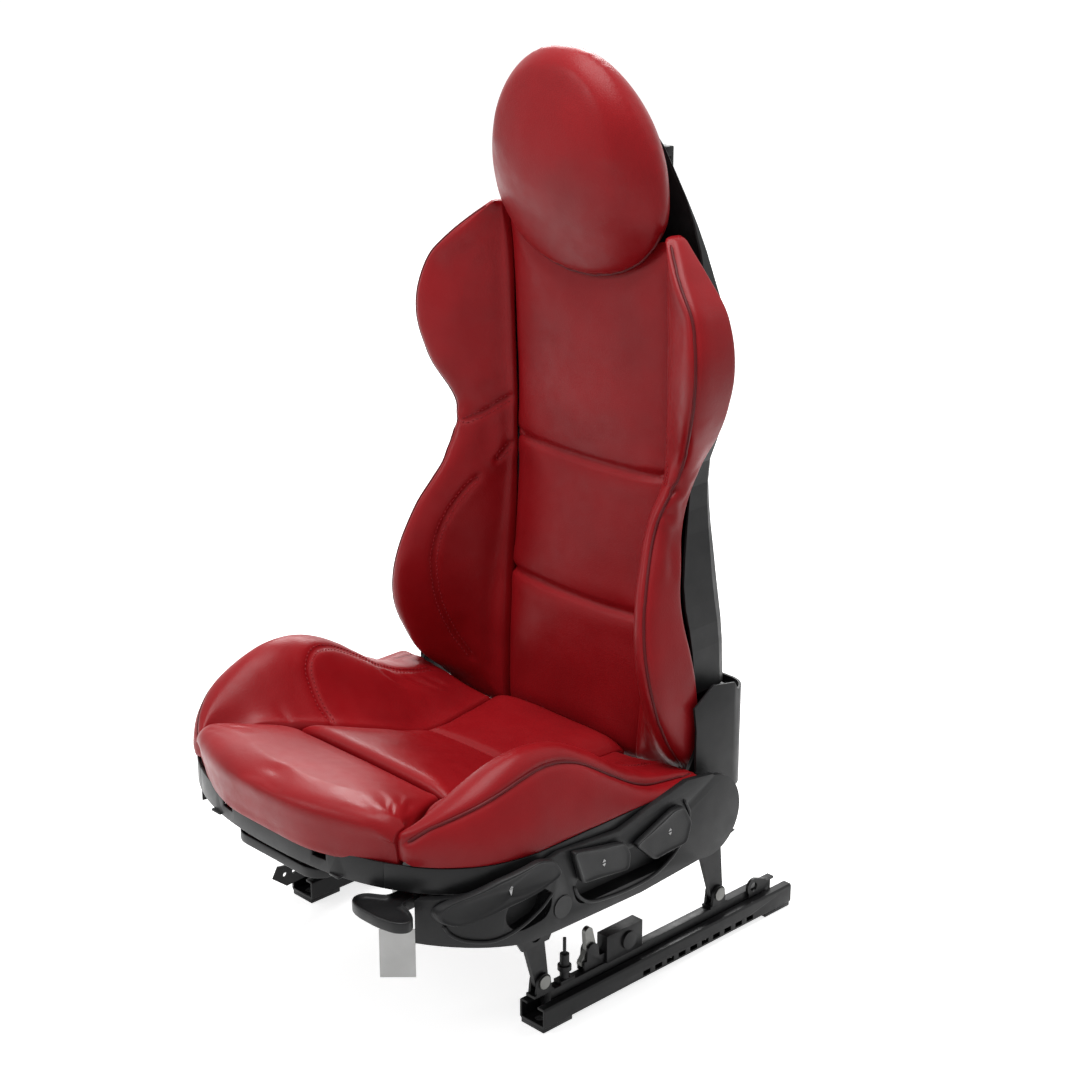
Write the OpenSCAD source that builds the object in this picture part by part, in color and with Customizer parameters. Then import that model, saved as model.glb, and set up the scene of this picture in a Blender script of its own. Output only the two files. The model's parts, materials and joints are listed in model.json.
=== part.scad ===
// Adjustable racing-style seat on floor rails
// +Z is up, the seat faces -Y and the occupant's left is +X
// The origin lies on the floor, midway between the four floor bolts

/* [Rails] */
// Distance between the centre lines of the two rails
rail_gap = 410; // [395:1:425]
// Length of a lower rail
rail_len = 420; // [410:1:460]
// Width of a lower rail
rail_w = 40; // [36:1:44]
// Sheet thickness of the lower rail
rail_wall = 3; // [2:0.5:3.5]
// Height of the lower rail
rail_h = 25; // [23:1:28]
// Length of an upper rail
slider_len = 374; // [350:1:380]
// Width of the upper rail's web
slider_web = 12; // [10:1:14]
// Height of the upper rail above the lower rail's lips
slider_rise = 10; // [8:1:14]
// Height of the foot pads
foot_h = 5; // [4:1:10]
// Length of a foot pad
foot_len = 45; // [35:1:55]
// Diameter of the floor-bolt holes
floor_bolt_d = 11; // [9:0.5:13]
// Distance of a floor bolt from the rail's end
floor_bolt_inset = 11; // [10:1:12]
// Number of latch windows
window_count = 10; // [6:1:12]
// Pitch of the latch windows
window_pitch = 20; // [18:1:22]

/* [Height links] */
// Place of the front links' lower pivots along the rail
front_link_y = -198; // [-205:1:-190]
// Distance between front and rear links
link_span = 290; // [275:1:300]
// Height of the lower pivots above the upper rail
pivot_rise = 16; // [15:1:20]
// Height from lower to upper pivots
link_rise = 88; // [80:1:100]
// Forward lean of the links, lower to upper pivots
link_lean = 18; // [10:1:25]
// Thickness of a link
link_t = 6; // [4:0.5:7]
// Diameter of the lower pivot pins
pin_d = 12; // [10:0.5:13]
// Diameter of the front link tube
front_tube_d = 18; // [16:0.5:20]
// Diameter of the rear cross tube
rear_tube_d = 24; // [20:0.5:26]

/* [Seat frame] */
// Room between a link and the side member
link_room = 6; // [5:0.5:8]
// Thickness of a side member
side_t = 3; // [2:0.5:4]
// Tilt of the seat, front upwards, in degrees
tilt_up = 3.5; // [2:0.5:4]
// Tilt of the seat, front downwards, in degrees
tilt_down = 2; // [1:0.5:2.5]
// Recliner pins' place along the seat
recline_y = 15; // [10:1:20]
// Recliner pins' height above the upper pivots
recline_rise = 62; // [60:1:66]
// Thickness of a recliner disc
recliner_t = 8; // [6:0.5:10]
// Radius of a recliner disc
recliner_r = 28; // [24:1:29]
// Diameter of the recliner pins
recline_pin_d = 16; // [12:0.5:18]
// Sheet thickness of the seat pan
pan_t = 1.5; // [1:0.25:2]

/* [Cushion] */
// Reach of the cushion's lower edge outside the side members
skirt_reach = 41; // [37:1:46]
// Length of the cushion from its nose to its rear end
cushion_len = 467; // [455:1:470]
// Place of the cushion's nose
nose_y = -427; // [-435:1:-420]
// Height of the cushion's lower edge above the upper pivots
sill_rise = 108; // [104:1:114]
// Height of the bolster ridges over the lower edge
ridge_h = 98; // [80:1:105]
// Depth of the sewn channel across the cushion
channel_d = 7; // [0:0.5:9]
// Crown of the centre pads
crown_h = 6; // [2:0.5:9]

/* [Backrest] */
// Height of the backrest's side bolsters
back_h = 606; // [590:1:620]
// Height of the backrest's lower edge above the recliner pins
back_rise = 30; // [30:1:36]
// Rear face of the padding
pad_back_y = 86; // [84:0.5:90]
// Half width of the tubular hoop
hoop_half = 128; // [120:1:132]
// Diameter of the hoop's tube
hoop_d = 16; // [14:0.5:17]
// Wall of the back shell and the covers
cover_t = 3; // [2:0.5:4]

/* [Headrest] */
// Width of the headrest
headrest_w = 286; // [270:1:296]
// Height of the headrest
headrest_h = 254; // [240:1:260]
// Front face of the headrest
headrest_front_y = 6; // [2:1:12]

/* [Levers] */
// Thickness of the hand levers
lever_t = 9; // [7:0.5:12]
// Diameter of the levers' stub shafts
lever_shaft_d = 10; // [8:0.5:12]
// Depth of the finger pockets
pocket_d = 18; // [14:1:20]
// Diameter of the cover's round cap
cap_d = 26; // [20:1:30]

/* [Hidden] */
$fn = 48;
run_fit = 0.05;
slide_gap = 0.3;
seam_gap = 0.4;
part_gap = 2;

leather = [0.55, 0.10, 0.13];
plastic = [0.10, 0.10, 0.11];
trim = [0.22, 0.22, 0.23];
steel = [0.16, 0.16, 0.17];
zinc = [0.60, 0.60, 0.58];

// Places across the seat, from the rail outwards
rail_x = rail_gap / 2;
ear_t = 3.4;
ear_gap = 0.6;
side_in = rail_x + link_t / 2 + link_room;
side_out = side_in + side_t;
recliner_out = side_out + recliner_t;
arm_t = 4;
arm_in = recliner_out + 0.4;
arm_out = arm_in + arm_t;
collar_t = 3;
collar_r = 4;
collar_gap = 0.4;
arm_cover_in = arm_out + collar_gap + collar_t + 0.5;
seat_half = side_out + skirt_reach;

// Heights of the rails and the linkage
rail_z = foot_h;
rail_top = rail_z + rail_h;
slider_top = rail_top + slider_rise;
lip_gap = slider_web / 2 + 2.5;
low_pivot_z = slider_top + pivot_rise;
top_pivot_z = low_pivot_z + link_rise;
rear_link_y = front_link_y + link_span;
front_top_y = front_link_y - link_lean;
rear_top_y = rear_link_y - link_lean;
foot_r = 10;
front_top_r = front_tube_d / 2 + 8;
rear_top_r = rear_tube_d / 2 + 8;

// Heights of the seat frame and the cushion
recline_z = top_pivot_z + recline_rise;
sill_z = top_pivot_z + sill_rise;
sill_h = 30;
side_top_z = sill_z - 20;
beam_front_y = nose_y + 92;
beam_depth = 30;
beam_h = 32;
beam_rear_y = beam_front_y + beam_depth;
pan_rear_y = nose_y + cushion_len + 4;
pan_rear_z = top_pivot_z + 44;
pan_slope = 0.11;
function pan_z(y) = pan_rear_z + pan_slope * (pan_rear_y - y);

// Heights of the backrest
back_z0 = recline_z + back_rise;
panel_t = 2;
panel_y = pad_back_y + slide_gap;
hoop_y = panel_y + panel_t + slide_gap + hoop_d / 2;
plate_y = hoop_y + hoop_d / 2 + slide_gap;
plate_t = 2.5;
shell_y = plate_y + plate_t + slide_gap + cover_t;
back_beam_z = back_z0 + 26;
back_beam_h = 63;
back_beam_depth = 10;
back_beam_top = back_beam_z + back_beam_h;
hoop_top_z = back_z0 + 532;
headrest_z = hoop_top_z + hoop_d / 2 + 3 + headrest_h / 2;

// Smooth curve through [place, value] pairs
function span_of(t, k, i = 0) = (i >= len(k) - 2 || t < k[i + 1][0]) ? i : span_of(t, k, i + 1);
function slope_at(k, i) = let (a = max(i - 1, 0), b = min(i + 1, len(k) - 1))
  (k[b][1] - k[a][1]) / (k[b][0] - k[a][0]);
function along(t, k) = let (
    i = span_of(t, k),
    h = k[i + 1][0] - k[i][0],
    u = min(max((t - k[i][0]) / h, 0), 1))
  k[i][1] * (2 * u ^ 3 - 3 * u ^ 2 + 1) + slope_at(k, i) * h * (u ^ 3 - 2 * u ^ 2 + u)
  + k[i + 1][1] * (3 * u ^ 2 - 2 * u ^ 3) + slope_at(k, i + 1) * h * (u ^ 3 - u ^ 2);
function mix(a, b, t) = a + (b - a) * t;
function curve(a, b, c, d, t) = (1 - t) ^ 3 * a + 3 * (1 - t) ^ 2 * t * b
  + 3 * (1 - t) * t ^ 2 * c + t ^ 3 * d;
function bell(t, centre, width) = exp(-((t - centre) / width) ^ 2);

// Closed solid through rings of an even number of points, stacked along their axis
module loft(rings) {
  n = len(rings);
  m = len(rings[0]);
  last = (n - 1) * m;
  polyhedron(
    points = [for (r = rings) each r],
    faces = [
      for (j = [0 : m / 2 - 2]) each [
        [j, j + 1, m - 2 - j], [j, m - 2 - j, m - 1 - j],
        [last + m - 2 - j, last + j + 1, last + j], [last + m - 1 - j, last + m - 2 - j, last + j]
      ],
      for (i = [0 : n - 2], j = [0 : m - 1]) each [
        [i * m + j, (i + 1) * m + j, i * m + (j + 1) % m],
        [i * m + (j + 1) % m, (i + 1) * m + j, (i + 1) * m + (j + 1) % m]
      ]
    ],
    convexity = 8);
}

// Plate between two places across the seat, its outline drawn in Y and Z
module across(x0, x1) {
  translate([x0, 0, 0]) rotate([90, 0, 90]) linear_extrude(x1 - x0) children();
}

// Bar between two places along the seat, its outline drawn in X and Z
module lengthwise(y0, y1) {
  translate([0, y1, 0]) rotate([90, 0, 0]) linear_extrude(y1 - y0) children();
}

// Round bar across the seat
module rod(x0, x1, y, z, r) {
  translate([x0, y, z]) rotate([0, 90, 0]) cylinder(h = x1 - x0, r = r);
}

// Two circles joined by straight sides that start just inside their outer tangents
module bar(p, rp, q, rq) {
  inset = 0.05;
  d = norm(q - p);
  lead = atan2(q[1] - p[1], q[0] - p[0]);
  open = acos((rp - rq) / d);
  translate(p) circle(rp);
  translate(q) circle(rq);
  polygon([for (e = [[p, rp, 1], [q, rq, 1], [q, rq, -1], [p, rp, -1]])
    e[0] + (e[1] - inset) * [cos(lead + e[2] * open), sin(lead + e[2] * open)]]);
}

// Plate across the seat with a round hub, its outline drawn in Y and Z
module hub_plate(x0, x1, hub, r) {
  across(x0, x1) children();
  rod(x0, x1, hub[0], hub[1], r);
}

// Curved slot about a centre
module arc_slot(centre, radius, half_w, a0, a1) {
  far = 2 * radius;
  translate(centre) {
    intersection() {
      difference() {
        circle(radius + half_w);
        circle(radius - half_w);
      }
      polygon([[0, 0], far * [cos(a0), sin(a0)], far * [cos(a1), sin(a1)]]);
    }
    for (a = [a0, a1]) rotate(a) translate([radius, 0]) circle(half_w);
  }
}

module right_hand() {
  mirror([1, 0, 0]) children();
}

module both_sides() {
  children();
  right_hand() children();
}

// Floor rails
rail_half = rail_w / 2;
rail_edge = 2;
flange_half = lip_gap + 2.5;
flange_z0 = rail_z + rail_wall + 3;
flange_z1 = rail_top - rail_wall - 2;
ball_r = (rail_half - rail_wall - flange_half) / 2 - slide_gap;
bolt_y = rail_len / 2 - floor_bolt_inset;

module rail_outline() {
  right = [
    [rail_half - rail_edge, 0], [rail_half, rail_edge], [rail_half, rail_h - rail_edge],
    [rail_half - rail_edge, rail_h], [lip_gap, rail_h], [lip_gap, rail_h - rail_wall],
    [rail_half - rail_wall, rail_h - rail_wall], [rail_half - rail_wall, rail_wall]
  ];
  left = [for (i = [len(right) - 1 : -1 : 0]) [-right[i][0], right[i][1]]];
  translate([rail_x, rail_z]) polygon(concat(right, left));
}

module floor_bolt_holes() {
  for (s = [-1, 1]) translate([rail_x, s * bolt_y, -1]) cylinder(h = rail_top, d = floor_bolt_d);
}

module lower_rail() {
  window = [rail_wall + 2, 12, 6];
  window_y0 = -52;
  difference() {
    lengthwise(-rail_len / 2, rail_len / 2) rail_outline();
    floor_bolt_holes();
    for (i = [0 : window_count - 1])
      translate([rail_x + rail_half - rail_wall - 1, window_y0 + i * window_pitch, rail_z + rail_wall + 1])
        cube(window);
  }
}

module left_lower_rail() { color(steel) lower_rail(); }
module right_lower_rail() { color(steel) right_hand() lower_rail(); }

module rail_feet() {
  foot_w = rail_w - 2 * rail_edge;
  color(steel) both_sides() difference() {
    for (s = [0, 1]) mirror([0, s, 0])
      translate([rail_x - foot_w / 2, rail_len / 2 - foot_len, 0]) cube([foot_w, foot_len, foot_h]);
    floor_bolt_holes();
  }
}

// Sliding rails
module upper_rail() {
  lengthwise(-slider_len / 2, slider_len / 2) translate([rail_x, 0]) {
    translate([-flange_half, flange_z0]) square([2 * flange_half, flange_z1 - flange_z0]);
    translate([-slider_web / 2, flange_z0]) square([slider_web, slider_top - flange_z0]);
  }
}

module left_upper_rail() { color(steel) upper_rail(); }
module right_upper_rail() { color(steel) right_hand() upper_rail(); }

module rail_balls() {
  ball_x = flange_half + slide_gap + ball_r;
  ball_z = rail_z + rail_wall + slide_gap + ball_r;
  ball_pitch = 30;
  color(zinc) both_sides()
    for (s = [-1, 1], i = [-2 : 2]) translate([rail_x + s * ball_x, i * ball_pitch, ball_z]) sphere(ball_r);
}

// Clevises and pins of the height links
bracket_half = 15;
bracket_base = 3;
ear_in = link_t / 2 + ear_gap;
ear_out = ear_in + ear_t;

module link_bracket(y) {
  translate([rail_x - ear_out, y - bracket_half, slider_top])
    cube([2 * ear_out, 2 * bracket_half, bracket_base]);
  for (x = [rail_x - ear_out, rail_x + ear_in]) across(x, x + ear_t)
    difference() {
      bar([y, low_pivot_z], foot_r, [y, slider_top], foot_r + 2);
      translate([y, low_pivot_z]) circle(pin_d / 2 + run_fit);
      translate([y - bracket_half, slider_top - 2 * foot_r]) square([2 * bracket_half, 2 * foot_r]);
    }
}

module link_brackets() {
  color(steel) both_sides() for (y = [front_link_y, rear_link_y]) link_bracket(y);
}

module lower_pivot_pins() {
  head_t = 1.5;
  head_gap = 0.3;
  reach = ear_out + head_gap;
  color(zinc) both_sides() for (y = [front_link_y, rear_link_y]) {
    rod(rail_x - reach, rail_x + reach, y, low_pivot_z, pin_d / 2);
    for (x = [rail_x - reach - head_t, rail_x + reach]) rod(x, x + head_t, y, low_pivot_z, pin_d / 2 + 2);
  }
}

module link(low, top, top_r, bore_d) {
  difference() {
    hub_plate(rail_x - link_t / 2, rail_x + link_t / 2, low, foot_r - 1) bar(low, foot_r, top, top_r);
    rod(rail_x - link_t, rail_x + link_t, low[0], low[1], pin_d / 2 + run_fit);
    rod(rail_x - link_t, rail_x + link_t, top[0], top[1], bore_d / 2 + run_fit);
  }
}

module front_link() {
  link([front_link_y, low_pivot_z], [front_top_y, top_pivot_z], front_top_r, front_tube_d);
}

module rear_link() {
  link([rear_link_y, low_pivot_z], [rear_top_y, top_pivot_z], rear_top_r, rear_tube_d);
}

module left_front_link() { color(steel) front_link(); }
module right_front_link() { color(steel) right_hand() front_link(); }
module left_rear_link() { color(steel) rear_link(); }
module right_rear_link() { color(steel) right_hand() rear_link(); }

// Tube across the seat with a collar outside each side member
module cross_tube(y, d, wall) {
  reach = side_out + collar_gap + collar_t;
  difference() {
    union() {
      rod(-reach, reach, y, top_pivot_z, d / 2);
      both_sides() rod(reach - collar_t, reach, y, top_pivot_z, d / 2 + collar_r);
    }
    rod(-reach - 1, reach + 1, y, top_pivot_z, d / 2 - wall);
  }
}

module front_link_tube() { color(steel) cross_tube(front_top_y, front_tube_d, 2); }
module rear_cross_tube() { color(steel) cross_tube(rear_top_y, rear_tube_d, 2.5); }

// Parallel bars between the two tubes, which keep the seat level as it rises
coupler_t = 4;
coupler_x = rail_x - ear_out - 8 - coupler_t;

module lift_couplers() {
  front = [front_top_y, top_pivot_z];
  rear = [rear_top_y, top_pivot_z];
  color(steel) both_sides() difference() {
    hub_plate(coupler_x, coupler_x + coupler_t, rear, rear_top_r - 1) bar(rear, rear_top_r, front, front_top_r);
    rod(coupler_x - 1, coupler_x + coupler_t + 1, rear[0], rear[1], rear_tube_d / 2 + run_fit);
    rod(coupler_x - 1, coupler_x + coupler_t + 1, front[0], front[1], front_tube_d / 2 + run_fit);
  }
}

// Seat frame
slot_half = front_tube_d / 2 + slide_gap;
slot_rim = 6;
tilt_radius = rear_top_y - front_top_y;
pivot_lobe_r = rear_tube_d / 2 + 10;

module side_member() {
  low_z = top_pivot_z - 16;
  tab_z = top_pivot_z - tilt_radius * sin(tilt_up) - slot_half - slot_rim;
  tab_half = slot_half + slot_rim + 5;
  hole_r = 20;
  difference() {
    hub_plate(side_in, side_out, [recline_y, recline_z], recliner_r - 1) {
      polygon([
        [beam_front_y, side_top_z - beam_h - 4], [beam_front_y, side_top_z], [recline_y, side_top_z - 4],
        [rear_top_y, top_pivot_z], [rear_top_y, low_z],
        [front_top_y + tab_half + 10, low_z], [front_top_y + tab_half, tab_z],
        [front_top_y - tab_half, tab_z], [front_top_y - tab_half - 10, low_z]
      ]);
      bar([recline_y, recline_z], recliner_r, [rear_top_y, top_pivot_z], pivot_lobe_r);
    }
    rod(side_in - 1, side_out + 1, rear_top_y, top_pivot_z, rear_tube_d / 2 + run_fit);
    rod(side_in - 1, side_out + 1, recline_y, recline_z, recline_pin_d / 2 + run_fit);
    across(side_in - 1, side_out + 1)
      arc_slot([rear_top_y, top_pivot_z], tilt_radius, slot_half, 180 - tilt_down - 0.3, 180 + tilt_up + 0.3);
    for (f = [0.3, 0.62])
      rod(side_in - 1, side_out + 1, mix(front_top_y, rear_top_y, f), top_pivot_z + 22, hole_r);
  }
}

module left_side_member() { color(steel) side_member(); }
module right_side_member() { color(steel) right_hand() side_member(); }

module front_cross_member() {
  sheet = 2;
  color(steel) difference() {
    translate([-side_in, beam_front_y, side_top_z - beam_h]) cube([2 * side_in, beam_depth, beam_h]);
    translate([-side_in - 1, beam_front_y + sheet, side_top_z - beam_h + sheet])
      cube([2 * side_in + 2, beam_depth - 2 * sheet, beam_h - 2 * sheet]);
  }
}

module seat_pan() {
  hole_r = 22;
  color(steel) difference() {
    across(-side_in, side_in) polygon([
      [beam_rear_y, pan_z(beam_rear_y) - pan_t], [beam_rear_y, pan_z(beam_rear_y)],
      [pan_rear_y, pan_z(pan_rear_y)], [pan_rear_y, pan_z(pan_rear_y) - pan_t]
    ]);
    for (x = [-1, 0, 1], y = [0.25, 0.5, 0.75])
      translate([x * side_in * 0.55, mix(beam_rear_y, pan_rear_y, y), low_pivot_z])
        cylinder(h = recline_z, r = hole_r);
  }
}

module recliner() {
  difference() {
    rod(side_out, recliner_out, recline_y, recline_z, recliner_r);
    rod(side_out - 1, recliner_out + 1, recline_y, recline_z, recline_pin_d / 2 + run_fit);
  }
}

module left_recliner() { color(zinc) recliner(); }
module right_recliner() { color(zinc) right_hand() recliner(); }

module recliner_pins() {
  reach = arm_out + collar_gap + collar_t;
  color(zinc) both_sides() {
    rod(side_in, reach, recline_y, recline_z, recline_pin_d / 2);
    rod(reach - collar_t, reach, recline_y, recline_z, recline_pin_d / 2 + collar_r);
  }
}

// Outline of the cushion's lower edge in plan, straight sides and a bowed front
bow_y = nose_y + 200;
bow_len = 183;
bow_power = 2.4;
function skirt_half(y, out) = y >= bow_y ? seat_half + out :
  (seat_half + out) * max(1 - ((bow_y - y) / (bow_len + out)) ^ bow_power, 0) ^ (1 / bow_power);
function skirt_y(x, out) = bow_y
  - (bow_len + out) * (1 - (x / (seat_half + out)) ^ bow_power) ^ (1 / bow_power);
skirt_steps = 12;

// Strip along the left of that outline, from a place across the front to a place along the side
module skirt_strip(x_front, y_rear, in, out) {
  function edge(o) = [
    for (i = [0 : skirt_steps]) let (
        x = (seat_half + o) * sin(mix(asin(x_front / (seat_half + o)), 90, i / skirt_steps)))
      [x, skirt_y(x, o)],
    [seat_half + o, y_rear]
  ];
  inner = edge(in);
  polygon(concat(edge(out), [for (i = [len(inner) - 1 : -1 : 0]) inner[i]]));
}

corner_x = side_in - 54;
sill_in = -4;
sill_out = -1;
sill_bottom = sill_z - sill_h;
tab_t = 3;

module sill() {
  rear_y = recline_y - 18;
  translate([0, 0, sill_bottom]) linear_extrude(sill_h) skirt_strip(corner_x, rear_y, sill_in, sill_out);
  translate([side_out, bow_y, sill_bottom])
    cube([seat_half + sill_in - side_out + 1, rear_y - 20 - bow_y, tab_t]);
}

module left_sill() { color(trim) sill(); }
module right_sill() { color(trim) right_hand() sill(); }

module front_valance() {
  foot_y = skirt_y(0, sill_in);
  function edge(o) = [for (i = [-skirt_steps : skirt_steps]) let (x = corner_x * i / skirt_steps)
    [x, skirt_y(abs(x), o)]];
  inner = edge(sill_in);
  color(trim) difference() {
    translate([0, 0, sill_bottom]) {
      linear_extrude(sill_h) polygon(concat(edge(sill_out), [for (i = [len(inner) - 1 : -1 : 0]) inner[i]]));
      both_sides() translate([lug_x + lug_w, foot_y + 2, 0]) cube([lug_w, beam_front_y - foot_y - 2, tab_t]);
    }
    both_sides() translate([lug_x - lug_w / 2 - part_gap, nose_y, lug_z - part_gap])
      cube([lug_w + 2 * part_gap, beam_front_y - nose_y, sill_h]);
  }
}

// Side covers below the cushion
shelf_in = 0;
wall_in = 4;
wall_out = wall_in + cover_t;
left_cover_x = side_in - 18;
right_cover_x = side_in + 26;
right_drop = 16;
lobe_r = 50;
boss_r = 7;
cap_y = -222;
cap_z = top_pivot_z + 37;
bosses = [[cap_y, cap_z], [-100, top_pivot_z + 60], [-290, top_pivot_z + 62]];

module cover_outline(drop) {
  polygon([
    [nose_y, top_pivot_z + 30], [nose_y, top_pivot_z + 66], [-330, top_pivot_z + 80],
    [bow_y, top_pivot_z + 103], [-135, top_pivot_z + 96], [-90, top_pivot_z + 107 - drop],
    [-28, top_pivot_z + 120 - drop], [recline_y, recline_z + lobe_r + 2 - drop], [recline_y, recline_z],
    [recline_y + lobe_r - 10, top_pivot_z + 30], [0, top_pivot_z + 14], [-100, top_pivot_z + 8],
    [-280, top_pivot_z + 12], [-340, top_pivot_z + 20]
  ]);
  translate([recline_y - 4, recline_z]) circle(lobe_r - drop);
}

module cover_wall(front_x, drop) {
  rear_y = recline_y + lobe_r + 10;
  reach = 2 * seat_half;
  intersection() {
    linear_extrude(reach) skirt_strip(front_x, rear_y, wall_in, wall_out);
    across(0, reach) cover_outline(drop);
  }
  intersection() {
    linear_extrude(reach) skirt_strip(front_x, rear_y, shelf_in, wall_in + 1);
    across(0, reach) difference() {
      cover_outline(drop);
      translate([0, -cover_t]) cover_outline(drop);
      translate([nose_y, 0]) square([-2 * nose_y, top_pivot_z + 50]);
    }
  }
  for (b = bosses) rod(side_out, skirt_half(b[0], wall_in) + 1, b[0], b[1], boss_r);
}

// Hand levers on the left cover
lever_gap = 0.8;
lever_x = seat_half + wall_out + lever_gap;
tilt_turn = -14;
tilt_gap = 2.6;
tilt_at = [-350, top_pivot_z + 64];
tilt_end = [-256, top_pivot_z + 90];
height_at = [-193, top_pivot_z + 82];
height_end = [-155, top_pivot_z + 67];
recline_at = [-53, top_pivot_z + 76];
recline_end = [-110, top_pivot_z + 67];
pockets = [
  [[-185, top_pivot_z + 48], 20, [-70, top_pivot_z + 48], 22],
  [[-276, top_pivot_z + 48], 20, [-258, top_pivot_z + 51], 20]
];

// Flat lever with a stub shaft through the cover
module lever(pivot, pivot_r, tip, tip_r, shaft_len) {
  across(0, lever_t) bar(pivot, pivot_r, tip, tip_r);
  rod(-shaft_len, 1, pivot[0], pivot[1], lever_shaft_d / 2);
}

module tilt_shaft(x0, x1, r) {
  translate([skirt_half(tilt_at[0], wall_out), tilt_at[0], tilt_at[1]]) rotate([0, 0, tilt_turn])
    rod(x0, x1, 0, 0, r);
}

module lever_bores() {
  reach = 40;
  tilt_shaft(-reach, reach, lever_shaft_d / 2 + run_fit);
  for (p = [height_at, recline_at])
    rod(lever_x - reach, lever_x + reach, p[0], p[1], lever_shaft_d / 2 + run_fit);
}

module pocket_tray() {
  intersection() {
    linear_extrude(2 * seat_half) skirt_strip(left_cover_x, recline_y, -50, wall_out);
    union() for (p = pockets) {
      face = skirt_half(p[0][0], wall_out);
      across(face - pocket_d - cover_t, face) bar(p[0], p[1] + cover_t, p[2], p[3] + cover_t);
    }
  }
}

module pocket_room() {
  for (p = pockets) {
    face = skirt_half(p[0][0], wall_out);
    across(face - pocket_d, face + pocket_d) bar(p[0], p[1], p[2], p[3]);
  }
}

module left_side_cover() {
  color(plastic) difference() {
    union() {
      cover_wall(left_cover_x, 0);
      pocket_tray();
    }
    pocket_room();
    lever_bores();
    rod(seat_half + wall_out - 1, seat_half + wall_out + 9, cap_y, cap_z, cap_d / 2 + run_fit);
  }
}

module right_side_cover() { color(plastic) right_hand() cover_wall(right_cover_x, right_drop); }

module cover_cap() {
  color(trim) rod(seat_half + wall_out - 1, seat_half + wall_out + 0.8, cap_y, cap_z, cap_d / 2);
}

module tilt_lever() {
  reach = 2 * seat_half;
  color(plastic) {
    intersection() {
      linear_extrude(reach)
        skirt_strip(left_cover_x, bow_y, wall_out + tilt_gap, wall_out + tilt_gap + lever_t);
      across(0, reach) bar(tilt_at, 16, tilt_end, 21);
    }
    tilt_shaft(-cover_t - 4, tilt_gap + 3, lever_shaft_d / 2);
  }
}

module height_lever() {
  color(plastic) translate([lever_x, 0, 0]) lever(height_at, 20, height_end, 17, cover_t + 3);
}

module recline_lever() {
  color(plastic) translate([lever_x, 0, 0]) lever(recline_at, 22, recline_end, 15, cover_t + 3);
}

// Release paddles under the front edge
paddle_y = beam_front_y - 16;
paddle_z = side_top_z - beam_h + 9;
paddle_pin_r = 4;
hub_r = 8;
slide_hub = 50;
slide_half = 75;
slide_reach = 54;
thigh_x = side_in - 40;
thigh_hub = 12;
thigh_reach = 68;
paddle_t = 7;
bracket_t = 8;
bracket_gap = 0.5;

module paddle_bracket(x) {
  across(x, x + bracket_t) {
    translate([paddle_y, paddle_z]) circle(hub_r - 1);
    translate([paddle_y, paddle_z - hub_r + 1]) square([beam_front_y - paddle_y, 2 * hub_r - 2]);
  }
}

module paddle_brackets() {
  color(steel) {
    both_sides() paddle_bracket(slide_hub + bracket_gap);
    rod(-slide_hub - 2, slide_hub + 2, paddle_y, paddle_z, paddle_pin_r);
    paddle_bracket(thigh_x - thigh_hub - bracket_gap - bracket_t);
    paddle_bracket(thigh_x + thigh_hub + bracket_gap);
    rod(thigh_x - thigh_hub - 2, thigh_x + thigh_hub + 2, paddle_y, paddle_z, paddle_pin_r);
  }
}

module paddle_hub(x, half) {
  difference() {
    union() {
      rod(x - half, x + half, paddle_y, paddle_z, hub_r);
      translate([x - half, paddle_y - hub_r - 6, paddle_z - paddle_t / 2])
        cube([2 * half, hub_r + 6, paddle_t]);
    }
    rod(x - half - 1, x + half + 1, paddle_y, paddle_z, paddle_pin_r + run_fit);
  }
}

module slide_release_paddle() {
  root_y = paddle_y - hub_r - 5;
  tip_y = paddle_y - slide_reach;
  tip_r = 12;
  color(trim) {
    paddle_hub(0, slide_hub);
    translate([0, 0, paddle_z - paddle_t / 2]) linear_extrude(paddle_t) {
      polygon([[-slide_half, root_y], [slide_half, root_y], [slide_half, tip_y + 2 * tip_r],
        [slide_half - tip_r, tip_y], [tip_r - slide_half, tip_y], [-slide_half, tip_y + 2 * tip_r]]);
    }
  }
}

module thigh_release_paddle() {
  root_y = paddle_y - hub_r - 5;
  neck_y = nose_y + 34;
  tip_y = paddle_y - thigh_reach;
  head_w = 36;
  color(trim) {
    paddle_hub(thigh_x, thigh_hub);
    translate([thigh_x, 0, paddle_z - paddle_t / 2]) linear_extrude(paddle_t)
      polygon([[-thigh_hub, root_y], [thigh_hub, root_y], [thigh_hub, neck_y], [head_w + 12, neck_y - 3],
        [head_w + 14, neck_y - 16], [head_w - 4, tip_y], [6 - head_w, tip_y], [-head_w, tip_y + 8],
        [-head_w + 8, neck_y]]);
  }
}

// Thigh support on two guide rods
rod_r = 5;
lug_x = 80;
rod_z = sill_z - 7;
thigh_plate_z = sill_z + 6;
thigh_plate_t = 4;
thigh_travel = 40;
bush_y0 = beam_front_y - 26;
bush_y1 = beam_rear_y - 14;
function cushion_y(f) = nose_y + f * cushion_len;
function cushion_share(y) = (y - nose_y) / cushion_len;
lug_t = 8;
lug_w = 16;
lug_z = rod_z - rod_r - 2;
lug_rear_y = bush_y1 + part_gap + thigh_travel;
lug_front_y = bush_y0 - part_gap - lug_t - 14;
nose_rear = cushion_share(lug_rear_y + lug_t);

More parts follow.
